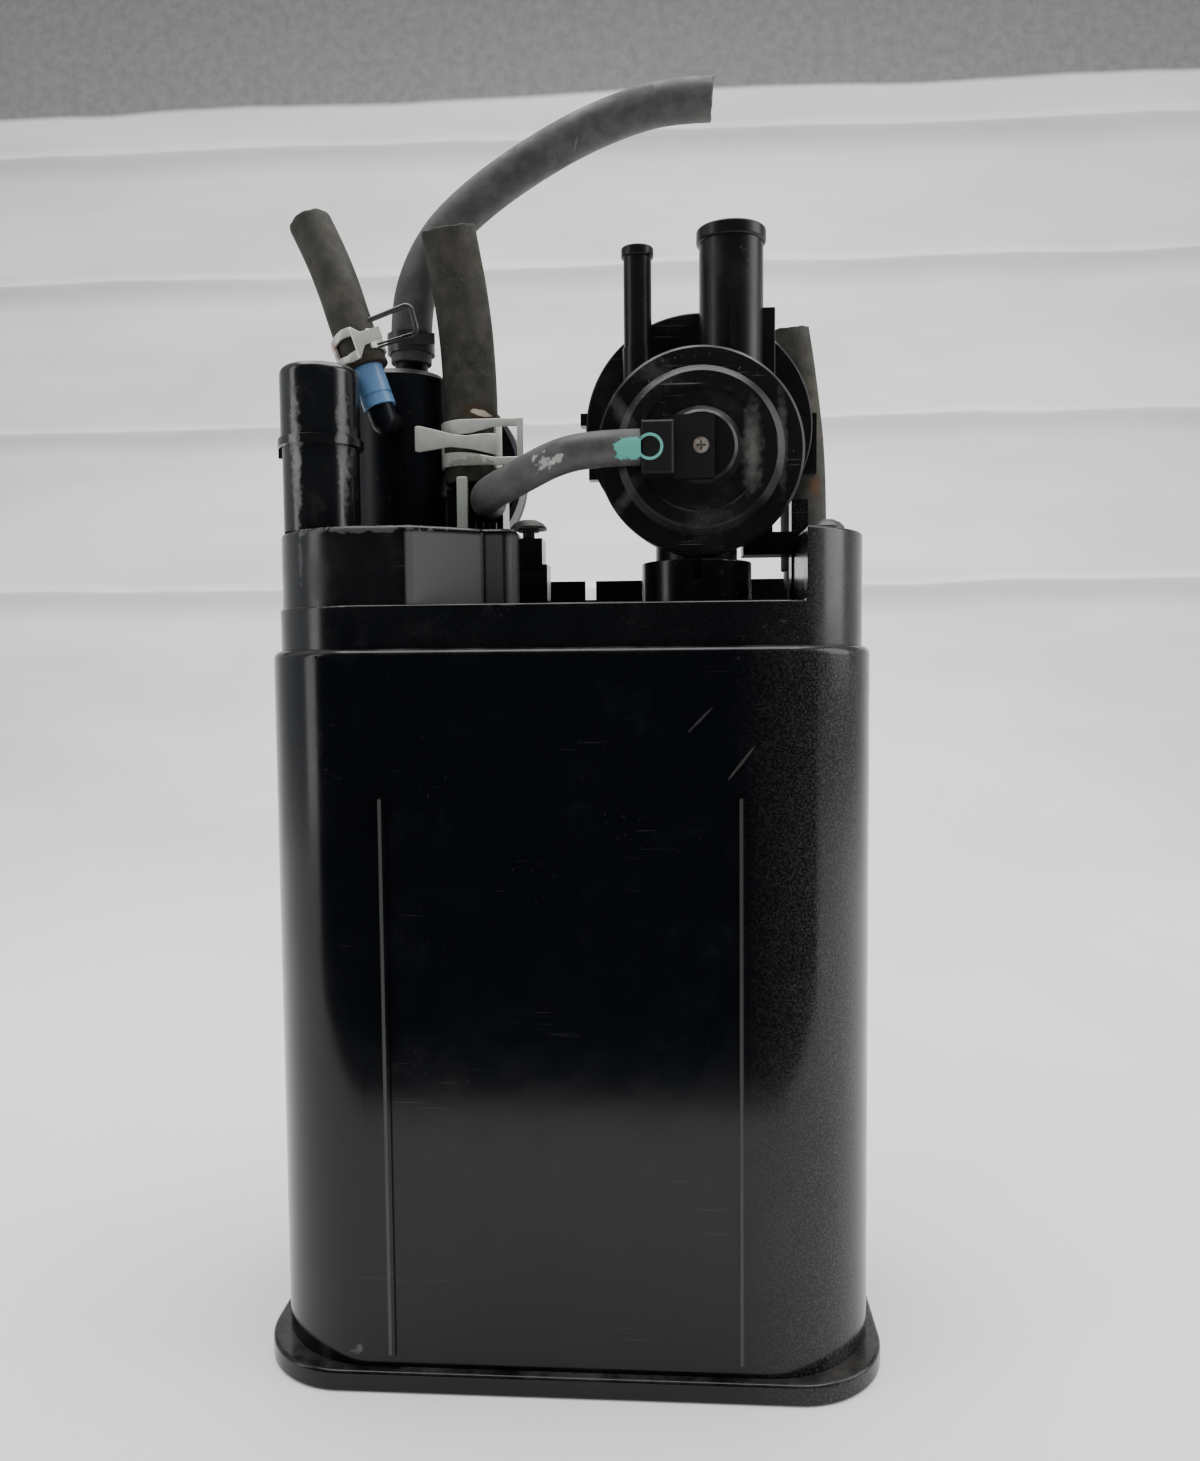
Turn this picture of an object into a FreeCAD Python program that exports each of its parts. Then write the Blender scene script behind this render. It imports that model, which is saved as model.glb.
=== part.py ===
import FreeCAD, Part
import math
import os
import re
import Sketcher

# Evaporative-emission charcoal canister: a moulded case full of activated carbon, a top deck that
# carries the tank-pressure valve, the air filter, the vent valve and the ports, and cut-off hoses.
# Millimetres, +Z up, front towards -Y. The origin is the centre of the footprint, on the floor.

V = FreeCAD.Vector
COIL_STEPS = 20             # straight steps in one turn of a spring
COIL_CLEARANCE = 0.05       # gap between a spring's end and its seat
doc = FreeCAD.newDocument("canister")

# ---- driving sizes ---------------------------------------------------------------------------
SIZES = {
    # case and bottom cover
    "flange_rim": 3, "flange_corner": 28, "cover_edge": 3.2,
    "flange_edge": 3.5, "edge_round": 1.1, "case_width": 190, "case_depth": 106, "case_corner": 34,
    "case_top": 226, "case_wall": 2.6, "roof_plate": 3, "shoulder_round": 2.8,
    "partition_x": -32, "partition_wall": 2.4, "partition_lift": 12,
    "rib_offset": 53.3, "rib_width": 2.2, "rib_proud": 1.1, "rib_foot": 10.5, "rib_head": 182,
    "rim_height": 5, "rim_wall": 2, "roof_slot_width": 6, "roof_slot_pitch": 16,
    # carbon beds, felts, plates and springs
    "inside_gap": 0.3, "felt": 5, "plate": 5, "plate_level": 31, "plate_hole": 3, "plate_pitch": 13,
    "coil_radius": 9, "coil_wire": 1.2, "coil_turns": 5, "coil_post": 7, "coil_post_height": 4,
    # top cover
    "band_inset": 2.4, "band_height": 13, "band_wall": 2.4, "deck_plate": 3,
    "tower_left": 72.4, "tower_rear": -10.5, "tower_height": 21.5,
    "clip_head": 5.9, "clip_rise": 4, "clip_stem": 1.9, "clip_depth": 9,
    "right_clip_x": 80, "right_clip_y": -30, "left_clip_x": -12.2, "left_clip_y": -22,
    "clip_post_right": -5.9, "clip_post_step": 1.5, "clip_post_height": 21.5,
    "cup_x": 41, "cup_y": -18, "cup_radius": 17.4, "cup_bore": 13.6, "cup_height": 13.6,
    "cup_slot": 2.6, "cup_slot_depth": 6, "neck_radius": 12.9, "neck_bore": 10.4,
    "rear_wall_y": 43, "rear_wall": 2.4, "rear_wall_height": 13, "rear_notch": 4,
    "rear_port_x": 79.5, "rear_port_y": 22,
    # manifold on the left of the deck
    "manifold_inset": 0.8, "manifold_height": 23.5, "manifold_wall": 2.2, "manifold_rear": 25.4,
    "facet_start": -43.2, "facet_end": -24.9, "facet_depth": 11.8, "manifold_right": -14.6,
    "top_round": 1.4, "deck_round": 0.8, "small_round": 0.4,
    # left port
    "port_x": -76.3, "port_y": -30, "port_radius": 11.8, "port_head": 12.2, "port_bore": 9,
    "port_height": 51, "port_collar": 27.5, "port_round": 2.8,
    # air filter housing and vent valve
    "filter_x": -60, "filter_y": 8, "filter_radius": 17.4, "filter_wall": 2.2,
    "filter_height": 51.5, "filter_cap": 5.5, "nipple_x": -55.5, "nipple_y": 6,
    "nipple_rise": 4.2, "vent_x": -52.8, "vent_rise": 50.8, "vent_radius": 32, "vent_front": 26.6,
    "vent_depth": 14.4, "vent_wall": 2.2, "vent_cover": 5.4,
    # check valve on the forward elbow of the filter housing
    "check_x": -60.7, "check_y": -17, "check_rise": 65.2, "check_tilt": 19, "check_radius": 5.3,
    "check_length": 13, "check_bore": 3.4, "check_disc": 2.9,
    # ports in the manifold roof
    "main_port_x": -33.6, "main_port_y": -2, "signal_port_x": -26.5, "signal_port_rise": 34.8,
    "port_block_height": 16.5, "tab_x": -35.1, "tab_width": 3.4, "tab_height": 20,
    # tank-pressure valve
    "valve_x": 42, "valve_clear": 16.5, "valve_radius": 30, "cover_lip": 1.6, "cover_front": -33,
    "valve_front": -28.4, "valve_back": -9, "membrane": 1.2, "ring_offset": 11.2, "ring_radius": 36.4,
    "ring_plate": 3, "back_radius": 30, "back_depth": 17, "step_radius": 24.1, "step_rise": 3.2,
    "boss_radius": 11, "boss_rise": 7, "big_tube_x": 52.1, "tube_y": -19, "big_tube": 10,
    "big_bore": 8.3, "big_rise": 70, "small_tube_x": 22.8, "small_tube": 4.4, "small_bore": 2.8,
    "small_rise": 65.5, "bead": 0.9, "seat_radius": 9, "seat_bore": 7, "seat_front": -24,
    "stub_y": -42.5, "stub_drop": 0.6, "screw_radius": 2.4,
    # hoses
    "long_hose": 7, "vapour_bore": 4, "main_hose": 9, "main_bore": 5.5, "signal_hose": 5.5,
    "signal_bore": 3, "right_hose": 8, "fit_gap": 0.05, "band": 0.8, "strap_gap": 0.25,
}
# sizes that follow from the driving ones
DERIVED = {
    "flange_width": "case_width + 2 * flange_rim",
    "flange_depth": "case_depth + 2 * flange_rim",
    "flange_top": "cover_edge + flange_edge",
    "deck_top": "case_top + band_height",
    "band_depth": "case_depth - 2 * band_inset",
    "manifold_top": "deck_top + manifold_height",
    "roof_level": "case_top - roof_plate",
    "bed_bottom": "plate_level + plate + felt",
    "bed_top": "roof_level - felt",
    "tower_top": "deck_top + tower_height",
    "filter_top": "manifold_top + filter_height + filter_cap",
    "vent_seam": "vent_front + vent_depth",
    "valve_seam": "valve_front - membrane",
    "neck_foot": "deck_top + 3",
    "vent_z": "deck_top + vent_rise",
    "check_z": "deck_top + check_rise",
    "signal_port_z": "deck_top + signal_port_rise",
    "valve_z": "deck_top + valve_clear + valve_radius",
    "ring_z": "valve_z + ring_offset",
    "big_top": "valve_z + big_rise",
    "small_top": "valve_z + small_rise",
    "stub_z": "valve_z - stub_drop",
    "stub_left": "valve_x - 0.59 * valve_radius",
    "cover_radius": "valve_radius + cover_lip",
    "port_block_top": "manifold_top + port_block_height",
}

sheet = doc.addObject("Spreadsheet::Sheet", "dims")
for row, (word, number) in enumerate(SIZES.items(), start=1):
    sheet.set(f"A{row}", word)
    sheet.set(f"B{row}", str(number))
    sheet.setAlias(f"B{row}", word)
doc.recompute()


def linked(text):
    """The expression of named sizes as FreeCAD reads it, with each name bound to its cell."""
    def cell(match):
        word = match.group(0)
        if word in SIZES:
            return f"dims.{word}"
        return f"({linked(DERIVED[word])})" if word in DERIVED else word
    return re.sub(r"[a-z]+(?:_[a-z]+)*", cell, str(text))


def size(text):
    """The number that an expression of named sizes gives."""
    return float(sheet.evalExpression(linked(text)))


# ---- building blocks -------------------------------------------------------------------------
AXES = {"Z": FreeCAD.Rotation(), "Y": FreeCAD.Rotation(V(1, 0, 0), -90),
        "X": FreeCAD.Rotation(V(0, 1, 0), 90),
        "-X": FreeCAD.Rotation(V(0, 1, 0), -90)}
NODES = []


def place(obj, at, axis="Z"):
    """Puts an object's own origin at a named place, with its own Z along the axis."""
    turn = AXES[axis] if isinstance(axis, str) else axis
    obj.Placement = FreeCAD.Placement(V(*[size(value) for value in at]), turn)
    for letter, value in zip("xyz", at):
        obj.setExpression(f".Placement.Base.{letter}", linked(value))
    return obj


def bound(kind, properties, at, axis="Z"):
    """A Part primitive whose properties follow the sheet."""
    obj = doc.addObject(kind, kind.split("::")[1])
    for name, value in properties.items():
        setattr(obj, name, size(value))
        obj.setExpression(name, linked(value))
    return place(obj, at, axis)


def cylinder(radius, height, at, axis="Z"):
    return bound("Part::Cylinder", {"Radius": radius, "Height": height}, at, axis)


def ring(radius, section, at, axis="Z"):
    return bound("Part::Torus", {"Radius1": radius, "Radius2": section}, at, axis)


def ball(radius, at):
    return bound("Part::Sphere", {"Radius": radius}, at)


def box(low, high):
    """A box between two corners."""
    spans = [f"({b}) - ({a})" for a, b in zip(low, high)]
    return bound("Part::Box", dict(zip(("Length", "Width", "Height"), spans)), low)


def fuse(*pieces):
    obj = doc.addObject("Part::MultiFuse", "Fusion")
    obj.Shapes = list(pieces)
    obj.Refine = True
    return obj


def cut(base, *tools):
    obj = doc.addObject("Part::Cut", "Cut")
    obj.Base = base
    obj.Tool = tools[0] if len(tools) == 1 else fuse(*tools)
    obj.Refine = True
    return obj


def common(base, tool):
    obj = doc.addObject("Part::Common", "Common")
    obj.Base = base
    obj.Tool = tool
    obj.Refine = True
    return obj


def pipe(radius, bore, height, at, axis="Z"):
    return cut(cylinder(radius, height, at, axis), cylinder(bore, height, at, axis))


def rounded(base, radius, chosen):
    """Rounds the edges that the test picks out."""
    doc.recompute()
    picks = [i for i, edge in enumerate(base.Shape.Edges, start=1) if chosen(edge)]
    obj = doc.addObject("Part::Fillet", "Fillet")
    obj.Base = base
    obj.Edges = [(i, size(radius), size(radius)) for i in picks]
    return obj


def level(height):
    """A test for edges that lie all round at one height."""
    target = size(height)
    return lambda edge: abs(edge.BoundBox.ZMin - target) < 0.01 and abs(edge.BoundBox.ZMax - target) < 0.01


def origin_plane(body, role):
    return [plane for plane in body.Origin.OriginFeatures if plane.Role == role][0]


def new_sketch(body, role):
    sketch = body.newObject("Sketcher::SketchObject", "Sketch")
    sketch.AttachmentSupport = [(origin_plane(body, role), "")]
    sketch.MapMode = "FlatFace"
    return sketch


def bind(sketch, constraint, text):
    """Adds a dimension to a sketch and ties it to the sheet."""
    sketch.setExpression(f"Constraints[{sketch.addConstraint(constraint)}]", linked(text))


def closed_profile(sketch, points):
    """Straight lines through the named points, each tied to the sheet."""
    spots = [V(size(a), size(b), 0) for a, b in points]
    for i, spot in enumerate(spots):
        sketch.addGeometry(Part.LineSegment(spot, spots[(i + 1) % len(spots)]))
    for i in range(len(spots)):
        sketch.addConstraint(Sketcher.Constraint("Coincident", i, 2, (i + 1) % len(spots), 1))
    for i, (a, b) in enumerate(points):
        bind(sketch, Sketcher.Constraint("DistanceX", -1, 1, i, 1, spots[i].x), a)
        bind(sketch, Sketcher.Constraint("DistanceY", -1, 1, i, 1, spots[i].y), b)


def turned(points, at, axis="Z"):
    """A PartDesign revolution: points are (radius, distance along the axis)."""
    body = doc.addObject("PartDesign::Body", "Turned")
    sketch = new_sketch(body, "XZ_Plane")
    closed_profile(sketch, points)
    spin = body.newObject("PartDesign::Revolution", "Revolution")
    spin.Profile = sketch
    spin.ReferenceAxis = (sketch, ["V_Axis"])
    spin.Angle = 360
    body.Tip = spin
    return place(body, at, axis)


def padded(points, low, height):
    """A PartDesign pad of a straight-sided outline."""
    body = doc.addObject("PartDesign::Body", "Padded")
    sketch = new_sketch(body, "XY_Plane")
    closed_profile(sketch, points)
    pad = body.newObject("PartDesign::Pad", "Pad")
    pad.Profile = sketch
    pad.Length = size(height)
    pad.setExpression("Length", linked(height))
    body.Tip = pad
    return place(body, ("0", "0", low))


def rounded_prism(width, depth, corner, low, height):
    """A PartDesign pad of a rectangle with rounded corners, centred on the Z axis."""
    body = doc.addObject("PartDesign::Body", "Prism")
    sketch = new_sketch(body, "XY_Plane")
    x, y, r = size(width) / 2, size(depth) / 2, size(corner)
    ends = [((r - x, -y), (x - r, -y)), ((x, r - y), (x, y - r)), ((x - r, y), (r - x, y)),
            ((-x, y - r), (-x, r - y))]
    for start, stop in ends:
        sketch.addGeometry(Part.LineSegment(V(*start, 0), V(*stop, 0)))
    centres = [(x - r, r - y), (x - r, y - r), (r - x, y - r), (r - x, r - y)]
    for i, centre in enumerate(centres):
        circle = Part.Circle(V(*centre, 0), V(0, 0, 1), r)
        sketch.addGeometry(Part.ArcOfCircle(circle, (i - 1) * math.pi / 2, i * math.pi / 2))
    for i in range(4):
        sketch.addConstraint(Sketcher.Constraint("Tangent", i, 2, 4 + i, 1))
        sketch.addConstraint(Sketcher.Constraint("Tangent", 4 + i, 2, (i + 1) % 4, 1))
        sketch.addConstraint(Sketcher.Constraint("Vertical" if i % 2 else "Horizontal", i))
    for i in range(5, 8):
        sketch.addConstraint(Sketcher.Constraint("Equal", 4, i))
    sketch.addConstraint(Sketcher.Constraint("Symmetric", 4, 3, 6, 3, -1, 1))
    bind(sketch, Sketcher.Constraint("Radius", 4, r), corner)
    bind(sketch, Sketcher.Constraint("DistanceX", 3, 1, 1, 1, 2 * x), width)
    bind(sketch, Sketcher.Constraint("DistanceY", 0, 1, 2, 1, 2 * y), depth)
    pad = body.newObject("PartDesign::Pad", "Pad")
    pad.Profile = sketch
    pad.Length = size(height)
    pad.setExpression("Length", linked(height))
    body.Tip = pad
    return place(body, ("0", "0", low))


def inset_prism(inset, low, high):
    """A prism that runs parallel to the case's outline, set in from it by the inset."""
    return rounded_prism(f"case_width - 2 * ({inset})", f"case_depth - 2 * ({inset})",
                         f"case_corner - ({inset})", low, f"({high}) - ({low})")


def node(label, obj):
    """Names a finished sub-part."""
    obj.Label = label
    NODES.append(obj)
    return obj


def shaped(label, shape, at=(0, 0, 0), turn=AXES["Z"]):
    """A sub-part whose shape is set directly, then placed."""
    obj = doc.addObject("Part::Feature", "Feature")
    obj.Shape = shape
    obj.Placement = FreeCAD.Placement(V(*at), turn)
    return node(label, obj)


# ---- case and bottom cover -------------------------------------------------------------------
COIL_PLACES = [("partition_x + 35", "0"), ("case_width / 2 - 35", "0"), ("partition_x - 30", "0")]


def bottom_cover():
    plate = rounded(rounded_prism("flange_width", "flange_depth", "flange_corner", "0", "cover_edge"),
                    "edge_round", level("0"))
    rim_inset = "(case_wall + inside_gap)"
    rim = cut(inset_prism(rim_inset, "cover_edge", "cover_edge + rim_height"),
              inset_prism(f"{rim_inset} + rim_wall", "cover_edge", "cover_edge + rim_height"))
    posts = [cylinder("coil_post", "coil_post_height", (x, y, "cover_edge")) for x, y in COIL_PLACES]
    node("bottom_cover", fuse(plate, rim, *posts))


def canister_case():
    flange = rounded(rounded_prism("flange_width", "flange_depth", "flange_corner", "cover_edge",
                                   "flange_edge"),
                     "edge_round", level("flange_top"))
    shell = rounded(inset_prism("0", "cover_edge", "case_top"), "shoulder_round", level("case_top"))
    hollow = inset_prism("case_wall", "cover_edge", "roof_level")
    ribs = []
    for side in ("-", ""):
        for face in ("-", ""):
            centre = (f"{side}rib_offset", f"{face}(case_depth / 2)")
            rib = box((f"{centre[0]} - rib_width / 2", f"{centre[1]} - rib_proud", "rib_foot"),
                      (f"{centre[0]} + rib_width / 2", f"{centre[1]} + rib_proud", "rib_head"))
            ribs.append(rib)
    half = "partition_wall / 2"
    wall = common(box((f"partition_x - {half}", "-case_depth / 2", "partition_lift"),
                      (f"partition_x + {half}", "case_depth / 2", "roof_level")),
                  inset_prism("case_wall / 2", "partition_lift", "roof_level"))
    slots = []
    for step in range(-2, 3):
        middle = f"{step} * roof_slot_pitch"
        for left, right in (("partition_x + 12", "case_width / 2 - 18"),
                            ("18 - case_width / 2", "partition_x - 12")):
            slots.append(box((left, f"{middle} - roof_slot_width / 2", "roof_level - 1"),
                             (right, f"{middle} + roof_slot_width / 2", "case_top + 1")))
    outer = cut(fuse(flange, shell, *ribs), hollow)
    node("canister_case", cut(fuse(outer, wall), *slots))


def chamber_fill(low, high, main, inset="case_wall + inside_gap"):
    """A block that fills the main or the second chamber between two heights."""
    gap = "(partition_wall / 2 + inside_gap)"
    limits = (f"partition_x + {gap}", "case_width / 2") if main else ("-case_width / 2",
                                                                      f"partition_x - {gap}")
    span = box((limits[0], "-case_depth / 2", low), (limits[1], "case_depth / 2", high))
    return common(inset_prism(inset, low, high), span)


def beds():
    for name, main in (("main", True), ("second", False)):
        node(f"{name}_upper_felt", chamber_fill("bed_top", "roof_level", main))
        node(f"{name}_carbon_bed", chamber_fill("bed_bottom", "bed_top", main))
        node(f"{name}_lower_felt", chamber_fill("plate_level + plate", "bed_bottom", main))


def pressure_plates():
    for name, main in (("main", True), ("second", False)):
        first = "partition_x + 14" if main else "18 - case_width / 2"
        count = 8 if main else 3
        holes = []
        for column in range(count):
            for line in range(-2, 3):
                at = (f"{first} + {column} * plate_pitch", f"{line} * plate_pitch", "plate_level - 1")
                holes.append(cylinder("plate_hole", "plate + 2", at))
        disc = chamber_fill("plate_level", "plate_level + plate", main, "case_wall + 2 * inside_gap")
        node(f"{name}_pressure_plate", cut(disc, *holes))


def coil(radius, wire, length, turns):
    """A round-wire compression spring that fits between two flats, bent in short straight steps."""
    rise = length - 2 * wire - 2 * COIL_CLEARANCE
    steps = int(turns * COIL_STEPS)
    bends = []
    for step in range(steps + 1):
        angle = 2 * math.pi * step / COIL_STEPS
        bends.append(V(radius * math.cos(angle), radius * math.sin(angle), rise * step / steps))
    section = Part.Wire(Part.makeCircle(wire, bends[0], bends[1] - bends[0]))
    spring = Part.makePolygon(bends).makePipeShell([section], True, True, 1)
    spring.translate(V(0, 0, wire + COIL_CLEARANCE))
    return Part.makeCompound([spring])


def plate_springs():
    length = size("plate_level - cover_edge")
    springs = []
    for x, y in COIL_PLACES:
        spring = coil(size("coil_radius"), size("coil_wire"), length, size("coil_turns"))
        spring.translate(V(size(x), size(y), size("cover_edge")))
        springs.append(spring)
    shaped("main_plate_springs", Part.makeCompound(springs[:2]))
    shaped("second_plate_spring", Part.makeCompound(springs[2:]))


# ---- top cover and manifold ------------------------------------------------------------------
def top_cover():
    band = inset_prism("band_inset", "case_top", "deck_top")
    hollow = inset_prism("band_inset + band_wall", "case_top", "deck_top - deck_plate")
    half = "partition_wall / 2"
    divider = box((f"partition_x - {half}", "-band_depth / 2 + 1", "case_top"),
                  (f"partition_x + {half}", "band_depth / 2 - 1", "deck_top - deck_plate"))
    tower = common(inset_prism("band_inset", "deck_top", "tower_top"),
                   box(("tower_left", "-case_depth / 2", "deck_top"),
                       ("case_width / 2", "tower_rear", "tower_top")))
    cup = pipe("cup_radius", "cup_bore", "cup_height", ("cup_x", "cup_y", "deck_top"))
    slot = box(("cup_x - cup_slot / 2", "cup_y - cup_radius - 1", "deck_top + cup_height - cup_slot_depth"),
               ("cup_x + cup_slot / 2", "cup_y", "deck_top + cup_height + 1"))
    wall = box(("left_clip_x", "rear_wall_y - rear_wall", "deck_top"),
               ("rear_port_x - 3", "rear_wall_y", "deck_top + rear_wall_height"))
    notches = []
    for centre, sill in (("left_clip_x + 15", 6), ("cup_x - 12", 10), ("cup_x + 12", 10)):
        notches.append(box((f"{centre} - rear_notch / 2", "rear_wall_y - rear_wall - 1",
                            f"deck_top + {sill}"),
                           (f"{centre} + rear_notch / 2", "rear_wall_y + 1",
                            "deck_top + rear_wall_height + 1")))
    post_left = "manifold_right + 0.1"
    post = fuse(box((post_left, "left_clip_y - 5", "deck_top"),
                    ("clip_post_right", "left_clip_y + 5", "deck_top + clip_post_height * 0.62")),
                box((post_left, "left_clip_y - 5", "deck_top"),
                    ("clip_post_right - clip_post_step", "left_clip_y + 5", "deck_top + clip_post_height")))
    bracket = box(("valve_x + valve_radius - 0.2", "tower_rear", "deck_top"),
                  ("valve_x + valve_radius + 5.1", "tower_rear + 7", "valve_z - 12"))
    rear_boss = fuse(cylinder("right_hose - 1", "14", ("rear_port_x", "rear_port_y", "deck_top")),
                     cylinder("vapour_bore - fit_gap", "24.5", ("rear_port_x", "rear_port_y", "deck_top")))
    clip_holes = [cylinder("clip_stem + fit_gap", "clip_depth + 1",
                           ("right_clip_x", "right_clip_y", "tower_top - clip_depth")),
                  cylinder("clip_stem + fit_gap", "clip_depth + 1",
                           ("left_clip_x", "left_clip_y", "deck_top + clip_post_height - clip_depth"))]
    ways = [cylinder("neck_bore", "deck_plate + 2", ("cup_x", "cup_y", "deck_top - deck_plate - 1")),
            cylinder("vapour_bore - 1.5", "40", ("rear_port_x", "rear_port_y", "deck_top - deck_plate - 1")),
            box(("18 - case_width / 2", "-20", "deck_top - deck_plate - 1"),
                ("partition_x - 20", "12", "deck_top + 1")),
            box(("partition_x + 4", "-18", "deck_top - deck_plate - 1"),
                ("manifold_right - 4", "12", "deck_top + 1"))]
    outside = rounded(fuse(band, tower), "deck_round", level("tower_top"))
    outside = rounded(outside, "deck_round", level("deck_top"))
    cup_ring = rounded(cut(cup, slot), "small_round", level("deck_top + cup_height"))
    solid = fuse(cut(outside, hollow), divider, cup_ring, cut(wall, *notches), post, bracket, rear_boss)
    node("top_cover", cut(solid, *clip_holes, *ways))


def manifold():
    inset = "(band_inset + manifold_inset)"
    front = f"-(case_depth / 2 - {inset})"
    far = "case_width"
    outline = [(f"-{far}", f"-{far}"), ("facet_start", f"-{far}"), ("facet_start", front),
               ("facet_end", f"{front} + facet_depth"), ("facet_end + 0.6", f"{front} + facet_depth + 0.8"),
               ("manifold_right - 4", f"{front} + facet_depth + 0.8"),
               ("manifold_right - 1.2", f"{front} + facet_depth + 2"),
               ("manifold_right", f"{front} + facet_depth + 4.8"), ("manifold_right", "manifold_rear"),
               (f"-{far}", "manifold_rear")]
    block = common(inset_prism(inset, "deck_top", "manifold_top"),
                   padded(outline, "deck_top", "manifold_height"))
    block = rounded(block, "top_round", level("manifold_top"))
    pocket_top = "manifold_top - manifold_wall"
    left_pocket = common(inset_prism(f"{inset} + manifold_wall", "deck_top", pocket_top),
                         box(("-case_width / 2", "-case_depth / 2", "deck_top"),
                             ("facet_start - manifold_wall", "manifold_rear - manifold_wall", pocket_top)))
    right_pocket = box(("facet_start", f"{front} + facet_depth + 6", "deck_top"),
                       ("manifold_right - manifold_wall", "manifold_rear - manifold_wall", pocket_top))
    port_block = box(("main_port_x - 7.4", "main_port_y - 7", "manifold_top"),
                     ("signal_port_x + 4.2", "main_port_y + 7", "port_block_top"))
    main_nipple = cylinder("main_bore - fit_gap", "13", ("main_port_x", "main_port_y", "port_block_top"))
    signal_nipple = cylinder("signal_bore - fit_gap", "6",
                             ("signal_port_x", "main_port_y - 11.6", "signal_port_z"), "Y")
    posts = [cylinder("1.4", "4.5", (f"signal_port_x {shift}", "main_port_y - 13", "manifold_top"))
             for shift in ("- 2.6", "+ 1.6")]
    bores = [cylinder("main_bore - 1.7", "60", ("main_port_x", "main_port_y", "manifold_top - 5")),
             cylinder("signal_bore - 1.4", "14", ("signal_port_x", "main_port_y - 18", "signal_port_z"), "Y"),
             cylinder("port_bore", "10", ("port_x", "port_y", "manifold_top - 5")),
             cylinder("filter_wall + 4", "10", ("filter_x", "filter_y", "manifold_top - 5"))]
    solid = fuse(cut(block, left_pocket, right_pocket), port_block, main_nipple, signal_nipple, *posts)
    node("inlet_manifold", cut(solid, *bores))
    tab = box(("tab_x - tab_width / 2", "main_port_y - main_hose - 2.5", "manifold_top"),
              ("tab_x + tab_width / 2", "main_port_y - main_hose - 0.5", "manifold_top + tab_height"))
    node("locating_tab", rounded(tab, "0.6", level("manifold_top + tab_height")))


def left_port():
    middle = "port_collar"
    profile = [("port_bore", "0"), ("port_radius", "0"), ("port_radius", f"{middle} - 1.6"),
               ("port_radius + 1.3", f"{middle} - 1.2"), ("port_radius + 1.3", f"{middle} + 1.2"),
               ("port_head", f"{middle} + 1.6"), ("port_head", "port_height"), ("port_bore", "port_height")]
    rim = level("manifold_top + port_height")
    tube = rounded(turned(profile, ("port_x", "port_y", "manifold_top")), "port_round",
                   lambda e: rim(e) and e.BoundBox.XLength > size("2 * port_bore + 1"))
    peg = box(("port_x - port_radius - 1.4", "port_y - 1.5", f"manifold_top + {middle} - 4"),
              ("port_x - port_radius + 1", "port_y + 1.5", f"manifold_top + {middle}"))
    node("fresh_air_port", fuse(tube, peg))


def push_clips():
    """Two mushroom-headed push clips."""
    clips = []
    for x, y, seat in (("right_clip_x", "right_clip_y", "tower_top"),
                       ("left_clip_x", "left_clip_y", "manifold_top + 0.4")):
        profile = [("0", "-clip_depth + 1.2"), ("clip_stem", "-clip_depth + 1.2"), ("clip_stem", "0"),
                   ("clip_stem + 1.4", "0"), ("clip_stem + 1.4", "1"), ("clip_head", "0.7"),
                   ("clip_head - 0.2", "1.5"), ("clip_head * 0.78", "clip_rise * 0.68"),
                   ("clip_head * 0.45", "clip_rise * 0.92"), ("0", "clip_rise")]
        clips.append(turned(profile, (x, y, seat)))
    doc.recompute()
    node("push_clips", compound(clips))


def compound(pieces):
    obj = doc.addObject("Part::Compound", "Compound")
    obj.Links = pieces
    return obj


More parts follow.
